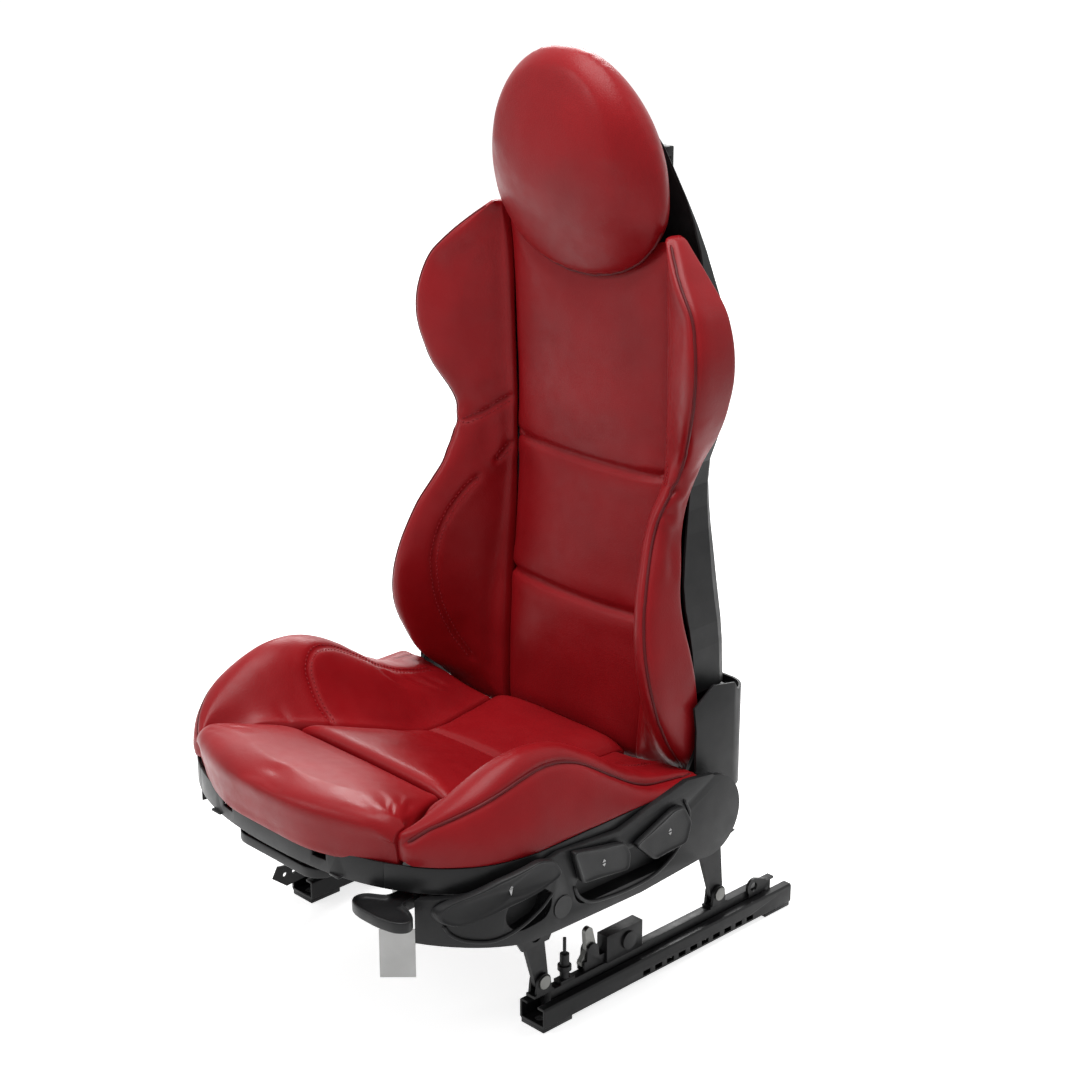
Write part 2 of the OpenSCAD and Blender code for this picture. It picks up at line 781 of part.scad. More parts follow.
module thigh_guide_bushes() {
  half = 12;
  color(zinc) both_sides() difference() {
    translate([lug_x - half, bush_y0, side_top_z])
      cube([2 * half, bush_y1 - bush_y0, rod_z + rod_r + 3 - side_top_z]);
    translate([lug_x, bush_y0 - 1, rod_z]) rotate([-90, 0, 0])
      cylinder(h = bush_y1 - bush_y0 + 2, r = rod_r + run_fit);
    translate([lug_x - half - 1, bush_y0 - 1, side_top_z - 1])
      cube([2 * half + 2, beam_front_y - bush_y0 + 1, 5]);
  }
}

module thigh_support_plate() {
  half = 105;
  color(steel) {
    translate([-half, lug_front_y, thigh_plate_z])
      cube([2 * half, lug_rear_y + lug_t - lug_front_y, thigh_plate_t]);
    both_sides() {
      for (y = [lug_front_y, lug_rear_y]) translate([lug_x - lug_w / 2, y, lug_z])
        cube([lug_w, lug_t, thigh_plate_z - lug_z + 1]);
      translate([lug_x, lug_front_y + 1, rod_z]) rotate([-90, 0, 0])
        cylinder(h = lug_rear_y - lug_front_y + lug_t - 2, r = rod_r);
    }
  }
}

// Padding of the cushion: sizes along it are shares of its length, heights are over its lower edge
seam_share = 0.706;
function panel_half(f) = side_in - along(f, [[0.08, 56], [0.15, 50], [0.21, 58], [0.34, 84], [0.53, 106],
  [0.7, 119], [0.85, 114], [1, 104]]);
function panel_top(f) = sill_z + along(f, [[0.3, 36], [0.36, 30], [0.53, 6], [0.7, -18],
  [0.85, -17], [1, -13]]);
function nose_top(f) = sill_z + along(f, [[0, 40], [0.02, 48], [0.07, 52], [0.17, 46],
  [0.3, 36], [0.34, 30]]);
ridge_curve = [[0.08, 0.14], [0.12, 0.32], [0.166, 0.5], [0.25, 0.75], [0.33, 0.92], [0.415, 1],
  [0.51, 0.94], [0.61, 0.71], [0.74, 0.29], [0.85, 0.08], [0.94, 0.03]];
piping_curve = [[0.08, 0.1], [0.12, 0.26], [0.166, 0.47], [0.3, 0.7], [0.443, 0.82], [0.55, 0.72],
  [0.66, 0.4], [0.76, 0.13], [0.85, 0.05], [0.94, 0.02]];
bolster_first = 0.118;
bolster_last = min(cushion_share(recline_y - 5), 0.97);

module seat_cushion() {
  stations = 15;
  points = 11;
  first = nose_rear + 0.007;
  last = min(cushion_share(seam_y(0) - 8), 0.995);
  color(leather) loft([for (i = [0 : stations]) let (
      f = mix(first, last, i / stations),
      y = cushion_y(f),
      w = panel_half(f) - seam_gap,
      end = min(1, min(f - first, last - f) / 0.03),
      top = [for (j = [0 : points - 1]) let (u = 2 * j / (points - 1) - 1)
        [u * w, y, panel_top(f) + crown_h * (1 - u ^ 4) - 6 * (1 - end) ^ 2 - 5 * u ^ 8
          - channel_d * bell(f, seam_share, 0.02)]])
    concat(top, [for (j = [points - 1 : -1 : 0]) [top[j][0], y, pan_z(y) + slide_gap]])]);
}

module seat_bolster() {
  stations = 19;
  inner = 7;
  outer = 6;
  step_x = side_in - 0.5;
  step = (bolster_last - bolster_first) * cushion_len / stations;
  loft([for (i = [0 : stations]) let (
      f = mix(bolster_first, bolster_last, i / stations),
      y = cushion_y(f),
      end = min(1, (bolster_last - f) / 0.05),
      xi = panel_half(f) + seam_gap,
      xl = skirt_half(y, 0),
      valley = [xi, max(f < 0.34 ? nose_top(f) : panel_top(f), pan_z(y) + 12) - (f < 0.2 ? 20 : 4)],
      ridge = [mix(xi, xl, along(f, [[0.08, 0.5], [0.42, 0.66], [0.75, 0.72], [0.94, 0.7]])),
        sill_z + ridge_h * along(f, ridge_curve) - 6 * (1 - end)],
      piping = [mix(xi, xl, along(f, [[0.08, 0.85], [0.3, 0.82], [0.45, 0.8], [0.7, 0.86], [0.94, 0.88]])),
        sill_z + ridge_h * along(f, piping_curve) - 2 * (1 - end)],
      low = [xl, sill_z + slide_gap],
      k = (ridge[0] - xi) * 0.4,
      top = [
        for (j = [0 : inner - 1]) curve(valley, valley + [k, 0.1 * (ridge[1] - valley[1])],
          ridge - [k, 0], ridge, j / inner),
        for (j = [0 : outer - 1]) let (t = j / (outer - 1)) t < 0.55 ?
          curve(ridge, ridge + [0.5 * (piping[0] - ridge[0]), 0], piping + [-2, 4], piping, t / 0.55) :
          mix(piping, low, (t - 0.55) / 0.45) + [4 * sin(180 * (t - 0.55) / 0.45), 0]
      ],
      n = len(top),
      flat = min(step_x, mix(xi, xl, 0.6)),
      base = y - step < beam_rear_y ? low[1] : pan_z(y) + slide_gap,
      under = [for (j = [0 : n - 1]) j < n / 2 ? [mix(xi, flat, j / (n / 2 - 0.5)), base] :
        [mix(flat, xl, (j - n / 2 + 0.5) / (n / 2 - 0.5)), low[1]]])
    concat([for (p = top) [p[0], y, p[1]]], [for (j = [n - 1 : -1 : 0]) [under[j][0], y, under[j][1]]])]);
}

module left_seat_bolster() { color(leather) seat_bolster(); }
module right_seat_bolster() { color(leather) right_hand() seat_bolster(); }

module thigh_support_pad() {
  points = 13;
  shares = [0.003, 0.01, 0.025, 0.05, 0.085, 0.13, 0.18, 0.23, 0.28, 0.31, 0.327, nose_rear];
  bottom = thigh_plate_z + thigh_plate_t + slide_gap;
  color(leather) loft([for (f = shares) let (
      y = cushion_y(f),
      w = min(panel_half(f) - 2 * seam_gap - 1, skirt_half(y, 17)),
      front = max(0, 1 - f / 0.03) ^ 2,
      rear = max(0, 1 - (nose_rear - f) / 0.03) ^ 2,
      top = [for (j = [0 : points - 1]) let (u = 2 * j / (points - 1) - 1)
        [u * w, y, nose_top(f) + crown_h * (1 - u ^ 2) - 9 * front - 6 * rear - 6 * abs(u) ^ 8]])
    concat(top, [for (j = [points - 1 : -1 : 0])
      [top[j][0] * (1 - 0.03 * (1 - front)), y, bottom + 6 * front]])]);
}

// Blank tag hanging from the front cross member
module label_tag() {
  tag = [40, 1, 60];
  strap_w = 8;
  tag_x = 107;
  tag_y = beam_front_y + 14;
  tag_turn = 46;
  hang = 72;
  top_z = side_top_z - beam_h;
  color("white") translate([tag_x, tag_y, 0]) rotate([0, 0, tag_turn]) {
    translate([-strap_w / 2, 0, top_z - hang]) cube([strap_w, tag[1], hang]);
    translate([-tag[0] / 2, 0, top_z - hang - tag[2]]) cube(tag);
  }
}

// Latch on the left rail and the fittings on the rails
latch_y = -118;
latch_pivot_z = slider_top + 22;
latch_x0 = rail_x - 5;
latch_t = 6;
cheek_t = 2.5;
cheek_gap = 0.4;
latch_pin_r = 4;

module latch_housing() {
  body = [16, 58, 34];
  body_y = -100;
  cheeks_y = body_y - 32;
  color(steel) {
    translate([rail_x - body[0] / 2, body_y, slider_top]) cube(body);
    for (x = [latch_x0 - cheek_gap - cheek_t, latch_x0 + latch_t + cheek_gap]) {
      translate([x, cheeks_y, slider_top]) cube([cheek_t, body_y - cheeks_y + 1, 12]);
      across(x, x + cheek_t) bar([latch_y, latch_pivot_z], 9, [latch_y, slider_top + 10], 10);
    }
    rod(latch_x0 - cheek_gap - 1, latch_x0 + latch_t + cheek_gap + 1, latch_y, latch_pivot_z, latch_pin_r);
    rod(rail_x + body[0] / 2 - 1, rail_x + body[0] / 2 + 4, body_y + 34, slider_top + 18, 11);
  }
}

module latch_lever() {
  color(zinc) difference() {
    hub_plate(latch_x0, latch_x0 + latch_t, [latch_y, latch_pivot_z], 7) {
      bar([latch_y, latch_pivot_z], 8, [latch_y - 4, latch_pivot_z + 24], 6);
      bar([latch_y, latch_pivot_z], 8, [latch_y - 14, latch_pivot_z - 12], 4);
    }
    rod(latch_x0 - 1, latch_x0 + latch_t + 1, latch_y, latch_pivot_z, latch_pin_r + run_fit);
  }
}

module latch_cable_end() {
  base = [slider_web, 22, 4];
  color(plastic) translate([rail_x, -160, slider_top]) {
    translate([-base[0] / 2, -base[1] / 2, 0]) cube(base);
    cylinder(h = 34, r = 5.5);
    translate([0, 0, 14]) cylinder(h = 6, r = 8);
    cylinder(h = 54, r = 2);
  }
}

connector_y = [-262, -150];
connector_t = 2.5;
connector_x = rail_x - ear_out - 2 - connector_t;
connector_foot_y = front_link_y + bracket_half + 5;
connector_bolts = [connector_foot_y + 8, connector_y[1] - 8];

module connector_bracket() {
  plate_h = 24;
  hole_r = 3;
  z0 = slider_top;
  color(steel) right_hand() difference() {
    union() {
      across(connector_x, connector_x + connector_t) polygon([[connector_y[0], z0 + 10],
        [connector_y[0] + 8, z0 + plate_h], [connector_y[1], z0 + 8], [connector_y[1], z0],
        [connector_y[0] + 20, z0 - 6]]);
      translate([connector_x, connector_foot_y, z0]) cube([rail_x + slider_web / 2 - connector_x,
        connector_y[1] - connector_foot_y, connector_t]);
    }
    for (d = [18, 32])
      rod(connector_x - 1, connector_x + connector_t + 1, connector_y[0] + d, z0 + 10, hole_r);
  }
}

module connector_screws() {
  color(zinc) right_hand() for (y = connector_bolts) translate([rail_x, y, slider_top + connector_t])
    cylinder(h = 4, r = 5, $fn = 6);
}

anchor_t = 3.5;
anchor_hole_r = 6;
anchor_at = [152, rail_top + 1.5 + 12];

module belt_anchor() {
  x0 = rail_x + slider_web / 2;
  foot = [30, 14];
  color(steel) difference() {
    hub_plate(x0, x0 + anchor_t, anchor_at, 10) {
      bar(anchor_at, 11, anchor_at + [16, -3], 8);
      translate([anchor_at[0] - 9, rail_top + 1.5]) square(foot);
    }
    rod(x0 - 1, x0 + anchor_t + 1, anchor_at[0], anchor_at[1], anchor_hole_r);
  }
}

// Backrest frame
arm_top = [hoop_y - 28, back_beam_z + 38];

module recliner_arm() {
  difference() {
    hub_plate(arm_in, arm_out, [recline_y, recline_z], recliner_r - 3) {
      bar([recline_y, recline_z], recliner_r - 2, arm_top, 22);
      translate([hoop_y - hoop_d / 2 - 6, back_beam_z]) square([back_beam_depth, back_beam_h]);
    }
    rod(arm_in - 1, arm_out + 1, recline_y, recline_z, recline_pin_d / 2 + run_fit);
  }
}

module left_recliner_arm() { color(steel) recliner_arm(); }
module right_recliner_arm() { color(steel) right_hand() recliner_arm(); }

module backrest_lower_beam() {
  sheet = 2;
  y0 = hoop_y - hoop_d / 2;
  color(steel) difference() {
    translate([-arm_in, y0, back_beam_z]) cube([2 * arm_in, back_beam_depth, back_beam_h]);
    translate([-arm_in - 1, y0 + sheet, back_beam_z + sheet])
      cube([2 * arm_in + 2, back_beam_depth - 2 * sheet, back_beam_h - 2 * sheet]);
  }
}

module backrest_hoop() {
  r = hoop_d / 2;
  color(steel) {
    both_sides() translate([hoop_half, hoop_y, back_beam_top])
      cylinder(h = hoop_top_z - back_beam_top, r = r);
    rod(-hoop_half, hoop_half, hoop_y, hoop_top_z, r);
    both_sides() translate([hoop_half, hoop_y, hoop_top_z]) sphere(r);
  }
}

module backrest_panel() {
  z0 = back_beam_z + 8;
  half = hoop_half + 24;
  color(steel) difference() {
    translate([-half, panel_y, z0]) cube([2 * half, panel_t, hoop_top_z - 8 - z0]);
    for (x = [-1, 1], i = [0 : 3])
      translate([x * hoop_half / 2, panel_y - 1, mix(z0, hoop_top_z, (i + 0.5) / 4)])
        rotate([-90, 0, 0]) cylinder(h = panel_t + 2, r = 40);
  }
}

module headrest_plate() {
  half = 55;
  z0 = hoop_top_z - 8;
  color(steel) translate([-half, plate_y, z0]) cube([2 * half, plate_t, headrest_z + 30 - z0]);
}

// Padding of the backrest: sizes along it are shares of its height
function back_z(f) = back_z0 + f * back_h;
function seam_half(f) = along(f, [[0, side_in - 102], [0.27, side_in - 94], [0.53, side_in - 90],
  [0.8, headrest_half - 17], [0.93, headrest_half - 15], [1, headrest_half - 9]]);
function seam_y(f) = pad_back_y - along(f, [[0, 40], [0.14, 34], [0.25, 26], [0.39, 16], [0.53, 10],
  [0.75, 12], [1, 19]]);
function wing_x(f) = along(f, [[0, side_in + 4], [0.09, side_in + 7.5], [0.19, side_in + 8.5],
  [0.29, side_in - 3], [0.39, side_in - 19], [0.49, side_in - 37], [0.58, side_in - 30], [0.68, side_in + 1],
  [0.78, side_in + 13], [0.88, side_in - 7], [0.94, headrest_half + 27], [1, headrest_half - 4]]);
function wing_y(f) = pad_back_y - along(f, [[0, 64], [0.09, 104], [0.19, 129], [0.29, 131], [0.39, 113],
  [0.49, 79], [0.58, 50], [0.68, 69], [0.78, 77], [0.88, 69], [0.94, 56], [1, 30]]);
function wing_rear_y(f) = pad_back_y - along(f, [[0, 54], [0.1, 55], [0.2, 61], [0.35, 66], [0.49, 42],
  [0.6, 28], [0.76, 26], [0.9, 20], [1, 12]]);
function wing_out(f) = wing_x(f) + 4;
wing_tail = -0.03;

module back_wing() {
  stations = 25;
  inner = 8;
  outer = 6;
  loft([for (i = [0 : stations]) let (
      f = mix(wing_tail, 1, i / stations),
      z = back_z(f),
      low = max(0, 1 - (f - wing_tail) / 0.09) ^ 2,
      xi = seam_half(f) + seam_gap,
      valley = [xi, seam_y(f)],
      crest = [wing_x(f) - 5 - 34 * low, wing_y(f) + 20 * low],
      rear = [wing_out(f) - 20 * low, wing_rear_y(f) + 16 * low],
      k = (crest[0] - xi) * 0.42,
      front = [
        for (j = [0 : inner - 1])
          curve(valley, valley + [0.7 * k, 0.08 * (crest[1] - valley[1])], crest - [k, 0], crest, j / inner),
        for (j = [0 : outer - 1])
          curve(crest, crest + [9, 0], mix(crest, rear, 0.55) + [6, 0], rear, j / (outer - 1))
      ],
      n = len(front),
      behind = [for (j = [0 : n - 1]) mix([xi, pad_back_y - 8 * low], rear + [-4, 1.5], j / (n - 1))])
    concat([for (p = front) [p[0], p[1], z]], [for (j = [n - 1 : -1 : 0]) [behind[j][0], behind[j][1], z]])]);
}

module left_back_wing() { color(leather) back_wing(); }
module right_back_wing() { color(leather) right_hand() back_wing(); }

headrest_power = 2.2;
headrest_taper = 0.34;
headrest_half = headrest_w / 2;
function headrest_low(x) = headrest_z
  - headrest_h / 2 * (1 - min(abs(x) / headrest_half, 1) ^ headrest_power) ^ (1 / headrest_power);
seam_heights = [0.255, 0.532];

module back_cushion() {
  stations = 22;
  points = 11;
  z0 = back_z0 - 22;
  color(leather) loft([for (i = [0 : stations]) let (
      v = i / stations,
      end = max(0, 1 - v / 0.05) ^ 2,
      front = [for (j = [0 : points - 1]) let (
          u = 2 * j / (points - 1) - 1,
          zt = headrest_low(u * seam_half(0.8)) - 2.5,
          z = mix(z0, zt, v),
          f = (z - back_z0) / back_h,
          groove = bell(f, seam_heights[0], 0.012) + bell(f, seam_heights[1], 0.012))
        [u * (seam_half(f) - seam_gap),
          seam_y(f) + 4 - crown_h * (1 - u ^ 4) + channel_d * groove + 3 * u ^ 8 + 8 * end, z]])
    concat(front, [for (j = [points - 1 : -1 : 0]) [front[j][0], pad_back_y, front[j][2]]])]);
}

module headrest_pad() {
  steps = 32;
  // Depth, share of the width, share of the height and lift of each section
  sections = [[0, 0.34, 0.2, 36], [0.035, 0.53, 0.4, 36], [0.09, 0.66, 0.56, 35], [0.17, 0.78, 0.7, 32],
    [0.29, 0.89, 0.83, 26], [0.43, 0.95, 0.93, 12], [0.57, 0.97, 0.98, -2], [0.75, 0.89, 0.9, -8],
    [0.9, 0.76, 0.8, -12], [1, 0.62, 0.68, -14]];
  depth = plate_y - slide_gap - headrest_front_y;
  function round_power(c) = sign(c) * abs(c) ^ (2 / headrest_power);
  color(leather) loft([for (s = sections) [for (j = [0 : steps - 1]) let (
      a = 360 * (j + 0.5) / steps,
      rise = s[3] + headrest_h / 2 * s[2] * round_power(cos(a)),
      taper = 1 - headrest_taper * max(0, rise / headrest_h + 0.22))
    [headrest_half * s[1] * taper * round_power(sin(a)), headrest_front_y + depth * s[0], headrest_z + rise]]]);
}

// Shells behind the padding
shell_z0 = back_beam_top + 6;
shell_h = 623;
function shell_half(f) = along(f, [[0, side_in - 1], [0.11, side_in - 4], [0.22, side_in - 16],
  [0.33, side_in - 33], [0.41, side_in - 36], [0.49, side_in - 18], [0.58, side_in - 7], [0.66, side_in - 14],
  [0.74, headrest_half + 33], [0.81, headrest_half + 6], [0.9, headrest_half - 33], [0.97, headrest_half - 63],
  [1, headrest_half - 83]]);
function shell_rim_y(f) = pad_back_y - along(f, [[0, 46], [0.1, 52], [0.2, 56], [0.33, 30], [0.43, 18],
  [0.59, 16], [0.72, 8], [0.81, -12], [0.88, -21.5], [1, -21.5]]);

module back_shell() {
  stations = 24;
  points = 15;
  power = 6;
  color(plastic) loft([for (i = [0 : stations]) let (
      f = i / stations,
      z = shell_z0 + f * shell_h,
      face = function (t) [for (j = [0 : points - 1]) let (
          a = 180 * j / (points - 1) - 90,
          b = shell_half(f) - t,
          deep = shell_y - t - shell_rim_y(f))
        [-b * sign(sin(a)) * abs(sin(a)) ^ (2 / power),
          shell_rim_y(f) + deep * abs(cos(a)) ^ (2 / power), z]])
    concat([for (p = face(0)) p], [for (j = [points - 1 : -1 : 0]) face(cover_t)[j]])]);
}

lower_cover_r = 28;
lower_cover_z0 = recline_z + 4;

module lower_cover_plan(grow) {
  half = arm_cover_in + grow;
  rear = shell_y - cover_t + grow;
  r = lower_cover_r + grow;
  translate([-half, -rear]) square([2 * half, 2 * rear - r]);
  translate([r - half, 0]) square([2 * (half - r), rear]);
  for (s = [-1, 1]) translate([s * (half - r), rear - r]) circle(r);
}

module lower_cover_side() {
  y0 = recline_y + 2;
  polygon([[y0, lower_cover_z0], [y0, back_z0 + 64], [y0 - 4, back_z0 + 92],
    [hoop_y - 52, back_z0 + 112], [hoop_y - 16, shell_z0 + 10], [hoop_y - 10, shell_z0 - seam_gap],
    [2 * shell_y, shell_z0 - seam_gap], [2 * shell_y, lower_cover_z0]]);
}

module lower_back_cover() {
  reach = 2 * arm_cover_in;
  color(plastic) {
    intersection() {
      linear_extrude(2 * back_z0) difference() {
        lower_cover_plan(cover_t);
        lower_cover_plan(0);
      }
      across(-reach, reach) lower_cover_side();
    }
    both_sides() rod(arm_out, arm_cover_in + 1, arm_top[0], arm_top[1], 8);
  }
}

// Loop behind the headrest for the shoulder belt
module belt_guide() {
  guide = [34, 13, 70];
  slot = [8, 48];
  x0 = 52;
  z0 = headrest_z - 48;
  color(plastic) difference() {
    translate([x0, shell_y, z0]) cube(guide);
    translate([x0 - 1, shell_y, z0 + (guide[2] - slot[1]) / 2]) cube([guide[0] + 2, slot[0], slot[1]]);
  }
}

left_lower_rail();
right_lower_rail();
rail_feet();
left_upper_rail();
right_upper_rail();
rail_balls();
link_brackets();
lower_pivot_pins();
latch_housing();
latch_cable_end();
latch_lever();
connector_bracket();
connector_screws();
belt_anchor();
left_front_link();
right_front_link();
front_link_tube();
left_rear_link();
right_rear_link();
rear_cross_tube();
lift_couplers();
left_side_member();
right_side_member();
front_cross_member();
seat_pan();
left_recliner();
right_recliner();
recliner_pins();
left_side_cover();
right_side_cover();
cover_cap();
front_valance();
left_sill();
right_sill();
paddle_brackets();
thigh_guide_bushes();
label_tag();
seat_cushion();
left_seat_bolster();
right_seat_bolster();
thigh_support_plate();
thigh_support_pad();
thigh_release_paddle();
slide_release_paddle();
tilt_lever();
height_lever();
recline_lever();
left_recliner_arm();
right_recliner_arm();
backrest_lower_beam();
backrest_hoop();
backrest_panel();
headrest_plate();
back_shell();
lower_back_cover();
belt_guide();
back_cushion();
left_back_wing();
right_back_wing();
headrest_pad();
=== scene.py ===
import json
import math
import bpy
import bmesh
import numpy as np
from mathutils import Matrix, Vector, noise
from mathutils.bvhtree import BVHTree


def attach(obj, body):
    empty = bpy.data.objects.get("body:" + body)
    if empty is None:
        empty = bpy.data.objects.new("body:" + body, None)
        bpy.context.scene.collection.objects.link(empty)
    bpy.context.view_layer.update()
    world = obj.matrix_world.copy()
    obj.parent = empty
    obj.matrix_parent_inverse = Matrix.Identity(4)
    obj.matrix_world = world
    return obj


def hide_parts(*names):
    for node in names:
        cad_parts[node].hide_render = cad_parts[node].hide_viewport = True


# Lengths are in millimetres, apart from Blender's own data, the camera and the lights, which are
# in metres. x runs to the occupant's left, y to the rear and z up.
MM = 0.001

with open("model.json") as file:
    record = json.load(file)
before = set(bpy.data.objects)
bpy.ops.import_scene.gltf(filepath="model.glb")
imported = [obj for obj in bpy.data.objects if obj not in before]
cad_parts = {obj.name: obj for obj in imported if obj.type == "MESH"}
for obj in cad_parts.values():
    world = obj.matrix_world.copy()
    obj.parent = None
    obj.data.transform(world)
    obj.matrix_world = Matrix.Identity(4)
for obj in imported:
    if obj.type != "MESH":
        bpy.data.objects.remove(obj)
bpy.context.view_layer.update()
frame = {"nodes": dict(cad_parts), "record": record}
nodes = frame["nodes"]
SLOTS = {part["node"]: part["material_slot"] for part in frame["record"]["subparts"]}
scene = bpy.context.scene


# Curves
def along(t, pairs):
    """Value at t of a smooth curve through pairs of place and value."""
    k = np.array(pairs, float)
    x, v = k[:, 0], k[:, 1]
    n = len(x)
    lo, hi = np.maximum(np.arange(n) - 1, 0), np.minimum(np.arange(n) + 1, n - 1)
    m = (v[hi] - v[lo]) / (x[hi] - x[lo])
    t = np.asarray(t, float)
    i = np.clip(np.searchsorted(x, t, side="right") - 1, 0, n - 2)
    h = x[i + 1] - x[i]
    u = np.clip((t - x[i]) / h, 0, 1)
    return (v[i] * (2 * u**3 - 3 * u**2 + 1) + m[i] * h * (u**3 - 2 * u**2 + u)
            + v[i + 1] * (3 * u**2 - 2 * u**3) + m[i + 1] * h * (u**3 - u**2))


def mix(a, b, t):
    return a + (b - a) * t


def bezier(a, b, c, d, n):
    t = np.linspace(0, 1, n)[:, None]
    a, b, c, d = (np.array(p, float) for p in (a, b, c, d))
    return (1 - t)**3 * a + 3 * (1 - t)**2 * t * b + 3 * (1 - t) * t**2 * c + t**3 * d


def covered(path):
    """Distance covered at each point of a path."""
    return np.r_[0, np.cumsum(np.linalg.norm(np.diff(path, axis=0), axis=1))]


def even(points, n):
    """n evenly spaced points on a path."""
    p = np.array(points, float)
    d = covered(p)
    s = np.linspace(0, d[-1], n)
    return np.stack([np.interp(s, d, p[:, j]) for j in range(p.shape[1])], axis=1)


def smooth_line(points, n):
    """n evenly spaced points on a smooth curve through the points."""
    p = np.array(points, float)
    d = covered(p)
    s = np.linspace(0, d[-1], max(n * 4, 60))
    q = np.stack([along(s, np.c_[d, p[:, j]]) for j in range(p.shape[1])], axis=1)
    return even(q, n)


def directions(path):
    t = np.gradient(path, axis=0)
    return t / np.linalg.norm(t, axis=1)[:, None]


def mirrored(points, side):
    """Points written for the left side, at the side asked for."""
    return np.array(points, float) * (side, 1, 1)


# Meshes
def new_object(name, data):
    ob = bpy.data.objects.new(name, data)
    scene.collection.objects.link(ob)
    return ob


def shade_smooth(mesh):
    mesh.polygons.foreach_set("use_smooth", [True] * len(mesh.polygons))


def make_object(name, verts, faces):
    mesh = bpy.data.meshes.new(name)
    mesh.from_pydata([tuple(v) for v in np.asarray(verts) * MM], [], faces)
    bm = bmesh.new()
    bm.from_mesh(mesh)
    bmesh.ops.recalc_face_normals(bm, faces=bm.faces)
    bm.to_mesh(mesh)
    bm.free()
    shade_smooth(mesh)
    return new_object(name, mesh)


def ring_faces(n, m, start=0):
    return [(start + i * m + j, start + i * m + (j + 1) % m,
             start + (i + 1) * m + (j + 1) % m, start + (i + 1) * m + j)
            for i in range(n - 1) for j in range(m)]


def loft(name, rings):
    """Closed skin over closed rings of points, with a fan over each end."""
    r = np.array(rings, float)
    n, m = r.shape[:2]
    verts = np.vstack([r.reshape(-1, 3), r[0].mean(0), r[-1].mean(0)])
    faces = ring_faces(n, m)
    faces += [((j + 1) % m, j, n * m) for j in range(m)]
    faces += [((n - 1) * m + j, (n - 1) * m + (j + 1) % m, n * m + 1) for j in range(m)]
    return make_object(name, verts, faces)


def tube_rings(path, radius, sides):
    """Rings of a round bead along a path, drawn in at its ends."""
    end_share, aside = 0.4, [0.3, 0.5, 0.8]
    p = np.array(path, float)
    t = directions(p)
    a = np.linspace(0, 2 * math.pi, sides, endpoint=False)[:, None]
    up = np.cross(t[0], aside)
    rings = []
    for i in range(len(p)):
        up = up - t[i] * np.dot(up, t[i])
        up /= np.linalg.norm(up)
        r = radius if 0 < i < len(p) - 1 else radius * end_share
        rings.append(p[i] + r * (np.cos(a) * up + np.sin(a) * np.cross(t[i], up)))
    return rings


def bead(name, path, radius, sides):
    return loft(name, tube_rings(path, radius, sides))


def vectors(mesh, kind):
    v = np.empty(len(mesh.vertices) * 3)
    mesh.vertices.foreach_get(kind, v)
    return v.reshape(-1, 3)


def set_coords(mesh, co):
    mesh.vertices.foreach_set("co", co.ravel())
    mesh.update()


def push(ob, move):
    """Moves each point of the skin out along its normal."""
    co, no = vectors(ob.data, "co"), vectors(ob.data, "normal")
    set_coords(ob.data, co + no * move[:, None] * MM)


def apply_modifiers(ob):
    dg = bpy.context.evaluated_depsgraph_get()
    mesh = bpy.data.meshes.new_from_object(ob.evaluated_get(dg))
    ob.modifiers.clear()
    ob.data = mesh
    shade_smooth(mesh)


def subdivide(ob):
    m = ob.modifiers.new("fine", "SUBSURF")
    m.levels = m.render_levels = 1
    apply_modifiers(ob)


PRESSURE, CLOTH_FRAMES = 3.0, 16


def inflate(ob, held, cap):
    """Blows the leather up against its seams with Blender's cloth, by no more than cap.
    Where held is 1 the leather stays."""
    rest = vectors(ob.data, "co")
    weight = np.round(held, 1)
    group = ob.vertex_groups.new(name="held")
    for w in np.unique(weight):
        if w > 0:
            group.add([int(i) for i in np.nonzero(weight == w)[0]], float(w), "REPLACE")
    cloth = ob.modifiers.new("leather", "CLOTH")
    s = cloth.settings
    s.quality = 4
    s.mass = 0.4
    s.tension_stiffness = s.compression_stiffness = 25
    s.shear_stiffness = 12
    s.bending_stiffness = 4
    s.use_pressure = True
    s.uniform_pressure_force = PRESSURE
    s.effector_weights.gravity = 0
    s.vertex_group_mass = "held"
    s.pin_stiffness = 1
    cloth.collision_settings.use_collision = False
    cloth.point_cache.frame_start, cloth.point_cache.frame_end = 1, CLOTH_FRAMES
    for f in range(1, CLOTH_FRAMES + 1):
        scene.frame_set(f)
    dg = bpy.context.evaluated_depsgraph_get()
    moved = vectors(ob.evaluated_get(dg).data, "co") - rest
    ob.modifiers.remove(cloth)
    ob.vertex_groups.remove(group)
    scene.frame_set(1)
    far = np.linalg.norm(moved, axis=1)
    moved *= np.minimum(1, cap * MM / np.maximum(far, 1e-9))[:, None]
    set_coords(ob.data, rest + moved)


def sewn_pad(name, rings, held):
    """Pad over rings of points, with how firmly each point is held. Both end points are held."""
    cap = 4
    ob = loft(name, rings)
    inflate(ob, np.r_[np.array(held).ravel(), 1, 1], cap)
    subdivide(ob)
    return ob


# Detail on a pad's surface
def tree_of(ob):
    return BVHTree.FromPolygons([v.co for v in ob.data.vertices],
                                [p.vertices for p in ob.data.polygons])


def on_surface(ob, path, rise=0.0, tree=None):
    """Points of a path laid on the piece's surface, with the surface's normals."""
    tree = tree or tree_of(ob)
    found = [tree.find_nearest(Vector(p * MM)) for p in np.array(path, float)]
    n = np.array([f[1] for f in found])
    return np.array([f[0] for f in found]) / MM + rise * n, n


def from_path(ob, path):
    """Distance from each point of the mesh to a path."""
    p = even(path, max(8, len(path)))
    c = vectors(ob.data, "co") / MM
    best = np.full(len(c), 1e9)
    for a, b in zip(p[:-1], p[1:]):
        ab = b - a
        t = np.clip(((c - a) @ ab) / max(ab @ ab, 1e-9), 0, 1)
        best = np.minimum(best, np.linalg.norm(c - a - t[:, None] * ab, axis=1))
    return best


